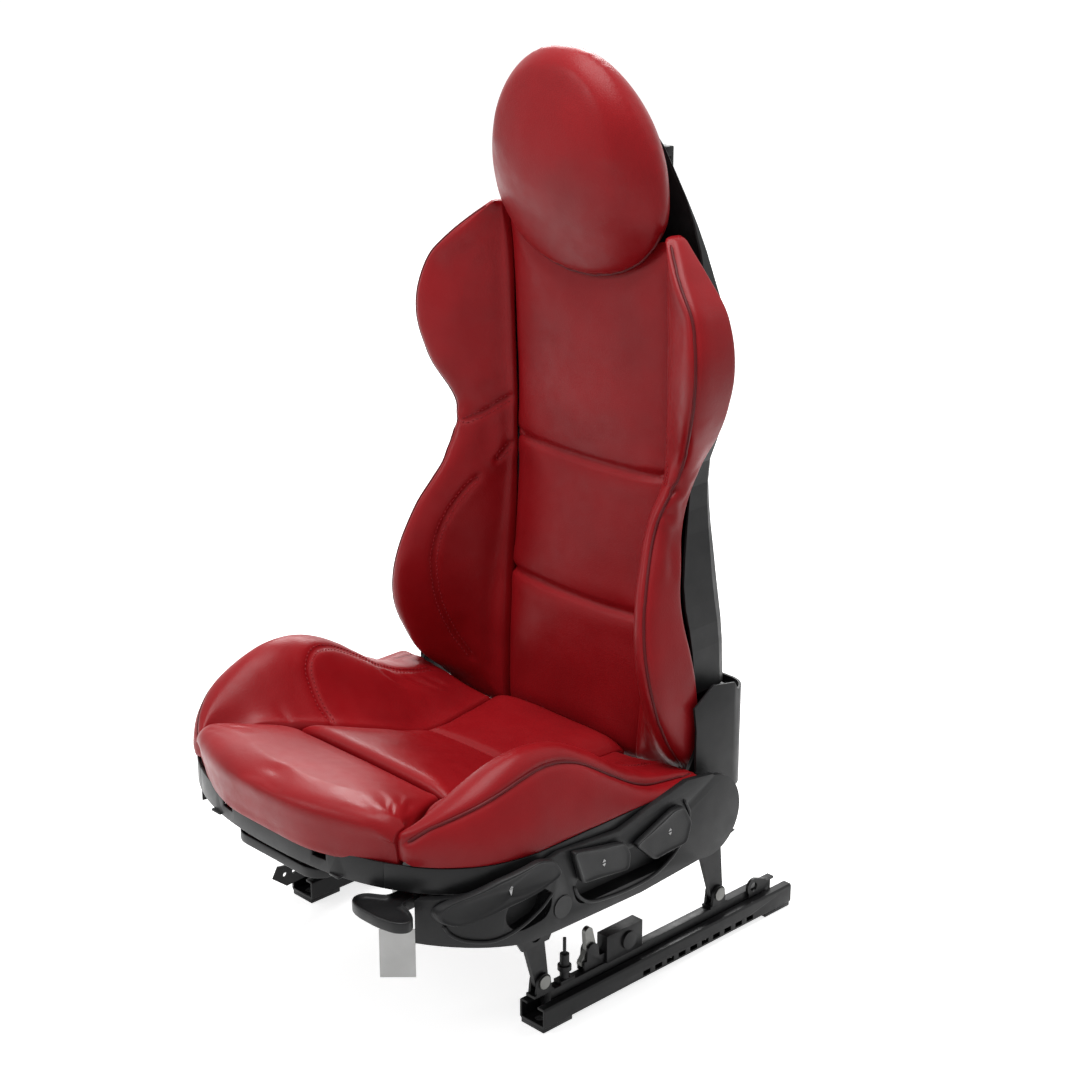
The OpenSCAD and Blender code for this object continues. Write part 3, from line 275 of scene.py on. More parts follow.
# Depth and width of a seam, then how far the leather stands proud beside it, and where
PIPED, SEWN = (2.2, 4.0, 0.8, 12), (2.0, 3.6, 0.7, 10)
SEAT_QUILT, BACK_QUILT = (5.5, 4.5, 1.2, 15), (5.0, 4.2, 1.2, 15)


def groove(ob, path, depth, width, swell=0.0, swell_at=1.0):
    """Draws the leather in along a seam; it stands a little proud beside it."""
    d = from_path(ob, path)
    push(ob, swell * np.exp(-((d - swell_at) / swell_at)**2) - depth * np.exp(-(d / width)**2))


def creases(ob, side, folds):
    """Soft folds: each has two end points, a depth and a width."""
    for a, b, depth, width in folds:
        a, b = mirrored(a, side), mirrored(b, side)
        t = ((vectors(ob.data, "co") / MM - a) @ (b - a)) / ((b - a) @ (b - a))
        d = from_path(ob, [a, mix(a, b, 0.5), b])
        fade = np.exp(-((t - 0.5) / 0.42)**4)
        beside = 0.6 * np.exp(-((d - 1.6 * width) / width)**2)
        push(ob, fade * depth * (beside - np.exp(-(d / width)**2)))


def uneven(ob, size, amount, seed):
    """The slight waviness of leather over foam, in two sizes."""
    finer, finer_share = 2.3, 0.4
    off = Vector((seed * 3.1, seed * 1.7, seed * 0.9))
    v = [noise.noise(Vector(c) * (1 / MM / size) + off)
         + finer_share * noise.noise(Vector(c) * (finer / MM / size) + off)
         for c in vectors(ob.data, "co")]
    push(ob, np.array(v) * amount)


# Materials
NOISE_SPAN = (0.3, 0.7)


def shader(name):
    m = bpy.data.materials.new(name)
    m.use_nodes = True
    return m, m.node_tree, m.node_tree.nodes["Principled BSDF"]


def place(t):
    return t.nodes.new("ShaderNodeTexCoord").outputs["Object"]


def noise_of(t, where, scale, detail):
    n = t.nodes.new("ShaderNodeTexNoise")
    n.inputs["Scale"].default_value = scale
    n.inputs["Detail"].default_value = detail
    t.links.new(where, n.inputs["Vector"])
    return n.outputs["Fac"]


def cells_of(t, where, scale):
    n = t.nodes.new("ShaderNodeTexVoronoi")
    n.inputs["Scale"].default_value = scale
    t.links.new(where, n.inputs["Vector"])
    return n.outputs["Distance"]


def ramp(t, fac, low, high):
    r = t.nodes.new("ShaderNodeValToRGB")
    for element, at, colour in zip(r.color_ramp.elements, NOISE_SPAN, (low, high)):
        element.position = at
        element.color = (*colour, 1)
    t.links.new(fac, r.inputs["Fac"])
    return r.outputs["Color"]


def spread(t, fac, low, high):
    r = t.nodes.new("ShaderNodeMapRange")
    r.inputs["From Min"].default_value, r.inputs["From Max"].default_value = NOISE_SPAN
    r.inputs["To Min"].default_value, r.inputs["To Max"].default_value = low, high
    t.links.new(fac, r.inputs["Value"])
    return r.outputs["Result"]


def bump(t, height, strength, distance, below=None):
    b = t.nodes.new("ShaderNodeBump")
    b.inputs["Strength"].default_value = strength
    b.inputs["Distance"].default_value = distance
    t.links.new(height, b.inputs["Height"])
    if below:
        t.links.new(below, b.inputs["Normal"])
    return b.outputs["Normal"]


def varied(name, low, high, rough, specular, patches, wear):
    """Material whose colour and roughness vary. Patches and wear are a noise's scale and detail."""
    m, t, b = shader(name)
    w = place(t)
    t.links.new(ramp(t, noise_of(t, w, *patches), low, high), b.inputs["Base Color"])
    t.links.new(spread(t, noise_of(t, w, *wear), *rough), b.inputs["Roughness"])
    b.inputs["Specular IOR Level"].default_value = specular
    return m, t, b, w


def leather(name, low, high, rough):
    m, t, b, w = varied(name, low, high, rough, 0.16, (9, 5), (60, 4))
    pores = bump(t, cells_of(t, w, 620), 0.22, 0.0005)
    folds = bump(t, noise_of(t, w, 240, 2), 0.12, 0.0006, pores)
    t.links.new(folds, b.inputs["Normal"])
    b.inputs["Coat Weight"].default_value = 0.05
    b.inputs["Coat Roughness"].default_value = 0.25
    return m


def plastic(name, low, high, rough, grain, deep):
    m, t, b, w = varied(name, low, high, (rough - 0.05, rough + 0.06), 0.22, (25, 3), (45, 3))
    t.links.new(bump(t, cells_of(t, w, grain), deep, 0.0003), b.inputs["Normal"])
    return m


def steel(name, low, high, rough, metal):
    m, t, b, w = varied(name, low, high, (rough - 0.07, rough + 0.08), 0.22, (18, 5), (70, 4))
    t.links.new(bump(t, noise_of(t, w, 300, 3), 0.06, 0.0004), b.inputs["Normal"])
    b.inputs["Metallic"].default_value = metal
    return m


RED = leather("red_leather", (0.205, 0.004, 0.0064), (0.275, 0.0062, 0.0094), (0.32, 0.45))
# Welt leather, about a third as bright as the pads: partly the piping's own darker tone, partly
# painted shade of the seam groove it lies in.
WELT_AND_SHADE = leather("welt_leather_and_seam_shade", (0.075, 0.004, 0.006), (0.12, 0.006, 0.008), (0.4, 0.55))
THREAD = leather("red_thread", (0.2, 0.012, 0.016), (0.32, 0.02, 0.026), (0.55, 0.7))
BLACK = plastic("black_plastic", (0.006, 0.006, 0.0065), (0.01, 0.01, 0.0105), 0.44, 900, 0.2)
TRIM = plastic("dark_trim", (0.008, 0.008, 0.0085), (0.013, 0.013, 0.0135), 0.36, 1200, 0.12)
STEEL = steel("black_steel", (0.005, 0.005, 0.0055), (0.01, 0.01, 0.0105), 0.4, 0.0)
ZINC = steel("zinc_steel", (0.1, 0.1, 0.095), (0.2, 0.2, 0.19), 0.36, 1.0)
PAPER = plastic("white_tag", (0.62, 0.62, 0.61), (0.72, 0.72, 0.71), 0.4, 500, 0.08)
MARK = plastic("pale_mark", (0.55, 0.55, 0.55), (0.65, 0.65, 0.65), 0.5, 900, 0.05)

FINISH = {"red_leather": RED, "black_plastic": BLACK, "dark_trim": TRIM, "black_steel": STEEL,
          "zinc_steel": ZINC, "white_tag": PAPER}


def paint(data, material):
    data.materials.clear()
    data.materials.append(material)


for node, slot in SLOTS.items():
    paint(nodes[node].data, FINISH[slot])


def dress(ob, body, material):
    paint(ob.data, material)
    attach(ob, body)


def stand_in(ob, body, node):
    """The piece takes the place and the finish of a CAD node."""
    dress(ob, body, FINISH[SLOTS[node]])
    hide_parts(node)


def pad_done(ob, node, body):
    stand_in(ob, body, node)


def softened(node, body, width):
    """The CAD node with its edges rounded, as moulded or pressed parts have them."""
    flat, rounded, sharp = (math.radians(a) for a in (0.4, 40, 34))
    bm = bmesh.new()
    bm.from_mesh(nodes[node].data)
    bmesh.ops.remove_doubles(bm, verts=bm.verts, dist=2e-6)
    bmesh.ops.dissolve_limit(bm, angle_limit=flat, verts=bm.verts, edges=bm.edges)
    mesh = bpy.data.meshes.new(node + "_rounded")
    bm.to_mesh(mesh)
    bm.free()
    ob = new_object(node + "_rounded", mesh)
    b = ob.modifiers.new("edges", "BEVEL")
    b.width = width * MM
    b.segments = 2
    b.limit_method = "ANGLE"
    b.angle_limit = rounded
    apply_modifiers(ob)
    ob.data.set_sharp_from_angle(angle=sharp)
    stand_in(ob, body, node)


# Camera at the photograph's place
CAMERA_AT, LENS, SENSOR = (1.8112, -1.7492, 1.3884), 76.667, 36
AZ, EL = math.radians(46), math.radians(20)
cam = new_object("camera", bpy.data.cameras.new("camera"))
cam.location = CAMERA_AT
look = Vector((-math.sin(AZ) * math.cos(EL), math.cos(AZ) * math.cos(EL), -math.sin(EL)))
cam.rotation_euler = look.to_track_quat("-Z", "Y").to_euler()
cam.data.sensor_fit = "HORIZONTAL"
cam.data.sensor_width = SENSOR
cam.data.lens = LENS
scene.camera = cam


# Pads: a gap is left to the seams, and pads lie a little above the pan and before the panel
SEAM_GAP, PAN_GAP, PANEL_Y = 0.4, 1, 85.5


def across(n):
    """n places across a panel from -1 to 1, closer together at its sides."""
    return np.sin(np.linspace(-1, 1, n) * math.pi / 2)


def side_hold(u):
    """How firmly a panel is held at these places across it."""
    return np.clip(1.5 - (1 - np.abs(u)) * 12, 0, 1)


# Cushion: f is the share of its length from the nose back
NOSE_Y, LENGTH, SILL, RIDGE, SEAM_Y = -427, 467, 252, 98, -100
SEAT_HALF, SKIRT_Y, SKIRT_DEPTH, SKIRT_POWER = 258, -227, 183, 2.4


def cushion_y(f):
    return NOSE_Y + f * LENGTH


def cushion_f(y):
    return (np.asarray(y, float) - NOSE_Y) / LENGTH


def panel_half(f):
    return along(f, [[0.08, 158], [0.15, 164], [0.21, 156], [0.34, 130], [0.53, 108], [0.7, 95],
                     [0.85, 100], [1, 110]])


def panel_top(f):
    return SILL + along(f, [[0.3, 36], [0.36, 30], [0.53, 6], [0.7, -18], [0.85, -17], [1, -13]])


def nose_top(f):
    return SILL + along(f, [[0, 40], [0.02, 48], [0.07, 52], [0.17, 46], [0.3, 36], [0.34, 30]])


def pan_z(y):
    rear_z, rear_y, slope = 188, 44, 0.11
    return rear_z + slope * (rear_y - y)


def skirt_half(y, out=0.0):
    """Half width of the seat's round-fronted plan, out from its edge."""
    t = np.clip((SKIRT_Y - np.asarray(y, float)) / (SKIRT_DEPTH + out), 0, 1)
    return (SEAT_HALF + out) * (1 - t**SKIRT_POWER)**(1 / SKIRT_POWER)


def seat_cushion():
    first, last, rows, m_top, m_under = 0.345, 0.995, 49, 37, 9
    crown, edge_drop, end_drop, end_share, seam_reach = 5, 7, 9, 0.035, 16
    u = across(m_top)
    rings, held = [], []
    for f in np.linspace(first, last, rows):
        y = cushion_y(f)
        w = panel_half(f) - SEAM_GAP
        end = min(1, min(f - first, last - f) / end_share)
        near = math.exp(-((y - SEAM_Y) / seam_reach)**2)
        z = (panel_top(f) + crown * (1 - u**4) * (1 - 0.5 * near)
             - end_drop * (1 - end)**2 - edge_drop * u**10)
        top = np.c_[u * w, np.full(m_top, y), z]
        under = np.c_[np.linspace(w, -w, m_under), np.full(m_under, y),
                      np.full(m_under, pan_z(y) + PAN_GAP)]
        rings.append(np.vstack([top, under]))
        h = np.maximum(np.r_[side_hold(u), np.ones(m_under)], min(1, near * 1.4))
        held.append(np.maximum(h, 1 - end))
    ob = sewn_pad("seat_cushion_pad", rings, held)
    x = np.linspace(-96, 96, 40)
    seam = np.c_[x, SEAM_Y + 3 * np.cos(x / 40), np.full(len(x), panel_top(0.7) + 4)]
    groove(ob, on_surface(ob, seam)[0], *SEAT_QUILT)
    uneven(ob, 55, 0.5, 1)
    pad_done(ob, "seat_cushion", "seat_frame")


def nose_pad():
    """Nose of the cushion. Its front face folds over at a crease and turns in under the hem."""
    m_face, m_under, columns, edge = 54, 8, 61, 171
    crease_z, crown_rise, tray, corner, corner_drop = 304, 6, 262.4, 146, 13
    reach = math.pi / 2 * 0.985
    rings, held = [], []
    for s in np.sin(np.linspace(-1, 1, columns) * reach) / math.sin(reach):
        x = s * edge
        a = abs(x)
        rear = along(a, [[0, -269.5], [100, -270], [124, -272], [140, -300], [153, -326],
                         [164, -346], [171, -360]])
        crease = along(a, [[0, -425], [70, -419], [130, -400], [158, -387], [171, -379]])
        low = along(a, [[0, -414], [70, -411], [130, -392], [158, -377], [171, -371]])
        fall = corner_drop * max(0, (a - corner) / (edge - corner))**2
        crown = crown_rise * (1 - (x / edge)**2)
        zr = nose_top(cushion_f(rear)) + crown * 0.3 - 4 - fall
        zc = crease_z + crown - fall
        face = [(rear, min(zr - 12, 272)), (rear - 0.6, zr - 4), (rear - 5, zr)]
        face += [(mix(rear - 5, crease + 20, t), mix(zr, zc, t) + 2.5 * math.sin(math.pi * t))
                 for t in (0.2, 0.4, 0.6, 0.8)]
        face += [(crease + 20, zc - 0.2), (crease + 7, zc - 4), (crease + 0.5, zc - 14),
                 (mix(crease, low, 0.55) - 1.5, 278), (low - 1.5, 258), (low + 1, 245),
                 (low + 5, 242)]
        under = [(low + 6, 243), (low + 8, 254), (low + 22, tray), (rear, tray)]
        p = np.vstack([smooth_line(face, m_face), even(under, m_under + 2)[1:-1]])
        rings.append(np.c_[np.full(len(p), x), p])
        h = np.r_[np.clip(1 - np.arange(m_face) / 3, 0, 1), np.ones(m_under)]
        h[m_face - 4:m_face] = 1
        held.append(np.maximum(h, np.clip((a - 158) / 10, 0, 1)))
    ob = sewn_pad("nose_pad", rings, held)
    uneven(ob, 70, 0.3, 2)
    pad_done(ob, "thigh_support_pad", "thigh_support")


def bolster_lines(f):
    """Seam, ridge, piping and lower edge of the left bolster at a share of the cushion's length."""
    end_f, end_share, end_drop, pipe_drop, least_pad = 0.935, 0.05, 6, 2, 12
    y = cushion_y(f)
    end = min(1, (end_f - f) / end_share)
    xi, xl = panel_half(f) + SEAM_GAP, skirt_half(y)
    zv = max(nose_top(f) if f < 0.34 else panel_top(f), pan_z(y) + least_pad)
    zv -= along(f, [[0.1, 22], [0.2, 18], [0.26, 5], [0.34, 4], [1, 4]])
    ridge_out = along(f, [[0.08, 0.5], [0.42, 0.66], [0.75, 0.72], [0.94, 0.7]])
    ridge_up = along(f, [[0.08, 0.14], [0.12, 0.32], [0.166, 0.5], [0.25, 0.75], [0.33, 0.92],
                         [0.415, 1], [0.51, 0.94], [0.61, 0.71], [0.74, 0.29], [0.85, 0.08],
                         [0.94, 0.03]])
    pipe_out = along(f, [[0.08, 0.85], [0.3, 0.82], [0.45, 0.8], [0.7, 0.86], [0.94, 0.88]])
    pipe_up = along(f, [[0.08, 0.1], [0.12, 0.26], [0.166, 0.47], [0.3, 0.7], [0.443, 0.82],
                        [0.55, 0.72], [0.66, 0.4], [0.76, 0.13], [0.85, 0.05], [0.94, 0.02]])
    return (y, (xi, zv), (mix(xi, xl, ridge_out), SILL + RIDGE * ridge_up - end_drop * (1 - end)),
            (mix(xi, xl, pipe_out), SILL + RIDGE * pipe_up - pipe_drop * (1 - end)),
            (xl, SILL + 1))


# The bolster's cross seam climbs the inner face from the valley and turns back along the ridge
BOLSTER_SEAM = [(112, -219, 252), (140, -220, 262), (165, -220, 287), (180, -214, 316),
                (190, -196, 327), (193, -165, 323), (192, -130, 305), (190, -92, 280),
                (189, -50, 262), (188, -5, 255)]
BOLSTER_FOLDS = [((152, -30, 246), (176, -62, 262), 2.2, 5),
                 ((150, -12, 243), (172, -36, 254), 2.0, 5),
                 ((158, -70, 258), (178, -100, 284), 1.5, 6),
                 ((150, -372, 280), (176, -350, 292), 1.8, 6),
                 ((225, -60, 262), (205, -90, 278), 1.5, 6)]
# Behind its end the bolster is tucked under the backrest: places, and heights it is kept below
BOLSTER_TUCK = [(14, 247), (20, 233), (27, 216), (34, 204), (41, 196), (47, 191)]
TUCK_LOW_X, TUCK_PIPE_X = 232, 224


def seat_bolster(side, name):
    first, last, rows = 0.122, 0.932, 70
    m_in, m_out, m_side, m_under = 19, 9, 9, 9
    pan_front_y, pan_half = -300, 213
    rings, held = [], []
    stations = [(f, None) for f in np.linspace(first, last, rows)]
    for f, tuck in stations + [(last, tuck) for tuck in BOLSTER_TUCK]:
        y, valley, ridge, pipe, low = bolster_lines(f)
        if tuck:
            y, high = tuck
            valley, ridge, pipe, low = ((x, min(z, high)) for x, z in (valley, ridge, pipe, low))
            low = (min(low[0], TUCK_LOW_X), low[1])
            pipe = (min(pipe[0], TUCK_PIPE_X), pipe[1])
        k = (ridge[0] - valley[0]) * 0.4
        rise = ridge[1] - valley[1]
        inner = bezier(valley, (valley[0] + k, valley[1] + 0.1 * rise), (ridge[0] - k, ridge[1]),
                       ridge, 60)
        outer = bezier(ridge, (mix(ridge[0], pipe[0], 0.5), ridge[1]), (pipe[0] - 2, pipe[1] + 4),
                       pipe, 40)
        bulged = [mix(np.array(pipe), np.array(low), t) + (5 * math.sin(math.pi * t), 0)
                  for t in np.linspace(0, 1, m_side)]
        top = np.vstack([even(inner, m_in)[:-1], even(outer, m_out)[:-1], bulged])
        base = low[1] if y < pan_front_y else pan_z(min(y, 40)) + PAN_GAP
        flat = min(pan_half, mix(valley[0], low[0], 0.6))
        under = even([(low[0] - 1, low[1]), (flat + 1, low[1]), (flat, base), (valley[0], base)],
                     m_under)
        p = np.vstack([top, under])
        rings.append(np.c_[side * p[:, 0], np.full(len(p), y), p[:, 1]])
        h = np.zeros(len(p))
        h[:3] = (1, 0.7, 0.3)
        h[m_in + m_out - 2] = 0.9
        h[len(top) - 1:] = 1
        close = min(f - first, last - f) / (last - first)
        held.append(np.maximum(h, np.clip(1 - close / 0.02, 0, 1)))
    ob = sewn_pad(name + "_bolster_pad", rings, held)
    lines = map(bolster_lines, np.linspace(first + 0.004, last - 0.005, 120))
    pipe = on_surface(ob, [(side * q[3][0], q[0], q[3][1]) for q in lines])[0]
    groove(ob, pipe, *PIPED)
    cross = on_surface(ob, smooth_line(mirrored(BOLSTER_SEAM, side), 90))[0]
    groove(ob, cross, *SEWN)
    creases(ob, side, BOLSTER_FOLDS)
    uneven(ob, 50, 0.7, 3 if side > 0 else 4)
    pad_done(ob, name + "_seat_bolster", "seat_frame")
    return ob, pipe, cross


# Backrest: f is the share of its height
BACK_Z, BACK_H, BACK_Y = 236, 606, 86
BACK_SEAMS = (390.5, 558.4)
HEAD_Z, HEAD_HALF_W, HEAD_HALF_H, HEAD_POWER = 906, 143, 127, 2.2


def back_f(z):
    return (np.asarray(z, float) - BACK_Z) / BACK_H


def back_z(f):
    return BACK_Z + f * BACK_H


def seam_half(f):
    return along(f, [[0, 112], [0.27, 120], [0.53, 124], [0.8, 126], [0.93, 128], [1, 134]])


def seam_y(f):
    return BACK_Y - along(f, [[0, 40], [0.14, 34], [0.25, 26], [0.39, 16], [0.53, 10], [0.75, 12],
                              [1, 19]])


def headrest_low(x):
    """Height of the headrest's lower edge."""
    t = np.clip(np.abs(np.asarray(x, float)) / HEAD_HALF_W, 0, 1)
    return HEAD_Z - HEAD_HALF_H * (1 - t**HEAD_POWER)**(1 / HEAD_POWER)


def back_cushion():
    rows, m_front, m_behind = 80, 37, 9
    bottom, top_half, top_gap = 190, 126, 2.5
    set_back, crown, edge_drop, seam_reach, lip_drop, lip_reach = 4, 5, 5, 14, 3, 10
    roll_z, roll_reach, roll_drop = 226, 36, 26
    u = across(m_front)
    x_behind = np.linspace(1, -1, m_behind)
    top = headrest_low(u * top_half) - top_gap
    rings, held = [], []
    for v in np.linspace(0, 1, rows):
        z = mix(bottom, top, v)
        f = back_f(z)
        roll = np.clip((roll_z - z) / roll_reach, 0, 1)**2
        near = sum(np.exp(-((z - s) / seam_reach)**2) for s in BACK_SEAMS)
        lip = np.exp(-((top - z) / lip_reach)**2)
        y = (seam_y(f) + set_back - crown * (1 - u**4) * (1 - 0.4 * near) + edge_drop * u**10
             + roll_drop * roll + lip_drop * lip)
        front = np.c_[u * (seam_half(f) - SEAM_GAP), y, z]
        zb = np.interp(x_behind, u, z)
        behind = np.c_[x_behind * (seam_half(back_f(zb)) - SEAM_GAP), np.full(m_behind, PANEL_Y),
                       zb]
        rings.append(np.vstack([front, behind]))
        h = np.maximum(side_hold(u), np.clip(near * 1.4, 0, 1))
        h = np.maximum(h, np.clip(1.2 - (top - z) / 8, 0, 1))
        held.append(np.r_[h, np.ones(m_behind)])
    ob = sewn_pad("back_cushion_pad", rings, held)
    half, sag = 124, 5
    x = np.linspace(-half, half, 50)
    for z in BACK_SEAMS:
        seam = np.c_[x, np.full(len(x), seam_y(back_f(z)) - 1), z - sag * (1 - (x / half)**2)]
        groove(ob, on_surface(ob, seam)[0], *BACK_QUILT)
    uneven(ob, 70, 0.6, 5)
    pad_done(ob, "back_cushion", "backrest")


def wing_lines(f):
    """Seam, crest and rear edge of the left wing at a share of the backrest's height, and how far
    it has turned in towards its lower end."""
    x = along(f, [[0, 218], [0.09, 221.5], [0.19, 222.5], [0.29, 211], [0.39, 195], [0.49, 177],
                  [0.58, 184], [0.68, 215], [0.78, 229], [0.88, 215], [0.94, 183], [1, 143]])
    y = BACK_Y - along(f, [[0, 64], [0.09, 104], [0.19, 129], [0.29, 131], [0.39, 113], [0.49, 79],
                           [0.58, 50], [0.68, 69], [0.78, 77], [0.88, 69], [0.94, 56], [1, 30]])
    ry = BACK_Y - along(f, [[0, 54], [0.1, 55], [0.2, 61], [0.35, 66], [0.49, 38], [0.6, 19],
                            [0.76, 17], [0.9, 14], [1, 9]])
    tail_f, tail_share = -0.03, 0.09
    low = max(0, 1 - (f - tail_f) / tail_share)**2
    tail = max(0, low - 1)
    return ((seam_half(f) + SEAM_GAP, seam_y(f) + min(20, 27 * tail)),
            (x - 5 - 34 * low, y + 20 * low + 8 * tail), (x + 4 - 20 * low, ry + 16 * low), low)


# Two seams on the wing's inner face: one crosses at the waist, one follows the lower lobe
WING_SEAMS = (
    ([(126, 74, 604), (145, 66, 592), (162, 52, 578), (176, 34, 566)], 40),
    ([(125, 74, 545), (148, 55, 520), (165, 25, 490), (172, -2, 450), (172, -15, 405),
      (168, -10, 350), (160, 5, 305), (150, 25, 270)], 80))
WING_FOLDS = [((214, 30, 668), (196, 44, 640), 1.8, 7),
              ((190, 34, 580), (172, 40, 560), 2.2, 6),
              ((186, 20, 548), (168, 30, 532), 2.0, 6),
              ((208, 10, 470), (190, 20, 520), 1.5, 9),
              ((150, 60, 610), (172, 52, 640), 1.5, 7)]


def back_wing(side, name):
    first, last, rows = -0.072, 1, 96
    m_in, m_out, m_behind = 21, 15, 10
    rings, held = [], []
    for f in np.linspace(first, last, rows):
        valley, crest, rear, low = wing_lines(f)
        k = (crest[0] - valley[0]) * 0.42
        inner = bezier(valley, (valley[0] + 0.7 * k, mix(valley[1], crest[1], 0.08)),
                       (crest[0] - k, crest[1]), crest, 60)
        outer = bezier(crest, (crest[0] + 9, crest[1]),
                       (mix(crest[0], rear[0], 0.55) + 6, mix(crest[1], rear[1], 0.55)), rear, 60)
        front = np.vstack([even(inner, m_in)[:-1], even(outer, m_out)])
        behind = even([(rear[0] - 4, rear[1] + 1.5), (valley[0], PANEL_Y - 8 * min(low, 1))],
                      m_behind)
        p = np.vstack([front, behind])
        rings.append(np.c_[side * p[:, 0], p[:, 1], np.full(len(p), back_z(f))])
        h = np.zeros(len(p))
        h[:3] = (1, 0.7, 0.3)
        h[len(front) - 1:] = 1
        held.append(np.maximum(h, np.clip(1 - min(f - first, last - f) / 0.02, 0, 1)))
    ob = sewn_pad(name + "_wing_pad", rings, held)
    share = np.linspace(0.012, 0.992, 150)
    crests = [wing_lines(f)[1] for f in share]
    crest = on_surface(ob, [(side * (x + 4.5), y + 1.5, back_z(f))
                            for f, (x, y) in zip(share, crests)])[0]
    groove(ob, crest, *PIPED)
    seams = []
    for points, n in WING_SEAMS:
        seams.append(on_surface(ob, smooth_line(mirrored(points, side), n))[0])
        groove(ob, seams[-1], *SEWN)
    creases(ob, side, WING_FOLDS)
    uneven(ob, 60, 0.8, 6 if side > 0 else 7)
    pad_done(ob, name + "_back_wing", "backrest")
    return ob, crest, seams


def headrest():
    """Leans forward out of the backrest and narrows towards its top."""
    front_y, depth, narrowing, narrow_from, points = 6, 98.6, 0.34, 0.22, 120
    voxel, cap, held_y, held_over = 6, 3, 88, 10
    d = np.r_[np.linspace(0, 0.12, 9), np.linspace(0.16, 1, 24)]
    wide = along(d, [[0, 0.3], [0.035, 0.53], [0.09, 0.66], [0.17, 0.78], [0.29, 0.89],
                     [0.43, 0.95], [0.57, 0.97], [0.75, 0.89], [0.9, 0.76], [1, 0.62]])
    high = along(d, [[0, 0.18], [0.035, 0.4], [0.09, 0.56], [0.17, 0.7], [0.29, 0.83],
                     [0.43, 0.93], [0.57, 0.98], [0.75, 0.9], [0.9, 0.8], [1, 0.68]])
    lift = along(d, [[0, 36], [0.09, 35], [0.17, 32], [0.29, 26], [0.43, 12], [0.57, -2],
                     [0.75, -8], [0.9, -12], [1, -14]])
    a = np.linspace(0, 2 * math.pi, points, endpoint=False)
    px, pz = (np.sign(w) * np.abs(w)**(2 / HEAD_POWER) for w in (np.sin(a), np.cos(a)))

    def ring(y, w, h, up):
        rise = up + HEAD_HALF_H * h * pz
        taper = 1 - narrowing * np.maximum(0, rise / (2 * HEAD_HALF_H) + narrow_from)
        return np.c_[HEAD_HALF_W * w * taper * px, np.full(points, y), HEAD_Z + rise]

    ob = loft("headrest_cover", list(map(ring, front_y + depth * d, wide, high, lift)))
    m = ob.modifiers.new("even", "REMESH")
    m.mode = "VOXEL"
    m.voxel_size = voxel * MM
    sm = ob.modifiers.new("smooth", "SMOOTH")
    sm.factor, sm.iterations = 0.5, 4
    apply_modifiers(ob)
    y = vectors(ob.data, "co")[:, 1] / MM
    inflate(ob, np.clip((y - held_y) / held_over, 0, 1), cap)
    subdivide(ob)
    # Soft edge over the top and sides, where the front face turns into the side band
    first, last, stand, width = 28, 93, 2.4, 14
    edge = np.roll(ring(18, 0.71, 0.62, 34), points // 2, axis=0)[first:last]
    groove(ob, on_surface(ob, edge)[0], -stand, width)
    uneven(ob, 80, 0.6, 8)
    pad_done(ob, "headrest_pad", "backrest")
    return ob


# Sewing: welts in the seams and rows of thread beside them
def welt(name, ob, path, body, radius=1.7, rise=0.4):
    p, _ = on_surface(ob, even(path, max(20, len(path))), rise)
    # The bead takes the darker welt leather, which partly paints the shade of the seam.
    dress(bead(name, p, radius, 8), body, WELT_AND_SHADE)


def stitches(name, ob, paths, body):
    """Two rows of thread beside each path, one small bead to a stitch."""
    offset, pitch, length, radius, sides = 4.0, 5.5, 3.4, 0.55, 6
    steps = length * np.array([0, 0.25, 0.75, 1])
    rises = np.array([[-0.3], [0.45], [0.45], [-0.3]])
    tree = tree_of(ob)
    verts, faces = [], []
    for path in paths:
        d = covered(path)
        _, n = on_surface(ob, path, tree=tree)
        beside = np.cross(n, directions(path))
        for sign in (-1, 1):
            row = path + sign * offset * beside
            for s in np.arange(pitch, d[-1] - pitch, pitch):
                places = np.stack([np.interp(s + steps, d, row[:, j]) for j in range(3)], axis=1)
                p, up = on_surface(ob, places, tree=tree)
                rings = tube_rings(p + up * rises, radius, sides)
                start, end = len(verts), len(verts) + sides * (len(rings) - 1)
                verts.extend(np.vstack(rings))
                faces += ring_faces(len(rings), sides, start)
                faces += [tuple(start + j for j in range(sides)),
                          tuple(end + j for j in reversed(range(sides)))]
    dress(make_object(name, verts, faces), body, THREAD)


seat_cushion()
nose_pad()
back_cushion()
head = headrest()
x = np.linspace(-128, 128, 90)
edge = np.c_[x, np.full(len(x), 66), headrest_low(x) - 1]
welt("headrest_welt", head, edge, "backrest", 1.9, 0.2)
for side, name in ((1, "left"), (-1, "right")):
    ob, pipe, cross = seat_bolster(side, name)
    welt(name + "_bolster_welt", ob, pipe, "seat_frame")
    stitches(name + "_bolster_thread", ob, [cross], "seat_frame")
    ob, crest, seams = back_wing(side, name)
    welt(name + "_wing_welt", ob, crest, "backrest")
    stitches(name + "_wing_thread", ob, seams, "backrest")


# Hand levers and release paddles: moulded plates with a raised rim
def moulded(name, node, body, outline, put, thick, soft=4, rim=1.0, dish=0.6):
    """Plate over an outline, rounded by soft steps and dished inside its rim. put gives the place
    of a point of the outline at a height."""
    p = even(outline + outline[:1], 97)[:-1]
    for _ in range(soft):
        p = 0.5 * p + 0.25 * (np.roll(p, 1, axis=0) + np.roll(p, -1, axis=0))
    centre = p.mean(0)
    far = np.linalg.norm(p - centre, axis=1)[:, None]
    floor_h = thick - rim - dish
    profile = ((2.5, 0), (0.4, 0.8), (0, 2), (0, thick - 1.8), (0.5, thick - 0.6), (1.4, thick),
               (2.6, thick - 0.15), (3.4, thick - rim), (6, thick - rim - 0.6 * dish),
               (9, floor_h), (14, floor_h))
    rings = []
    for inset, h in profile:
        q = centre + (p - centre) * np.maximum(0.2, 1 - inset / far)
        rings.append([put(a, b, h) for a, b in q])
    ob = loft(name, rings)
    stand_in(ob, body, node)
    return ob


LEVER_X, BOWED_OUT = 265.8, 9.6


def flat_lever(y, z, h):
    return LEVER_X + h, y, z


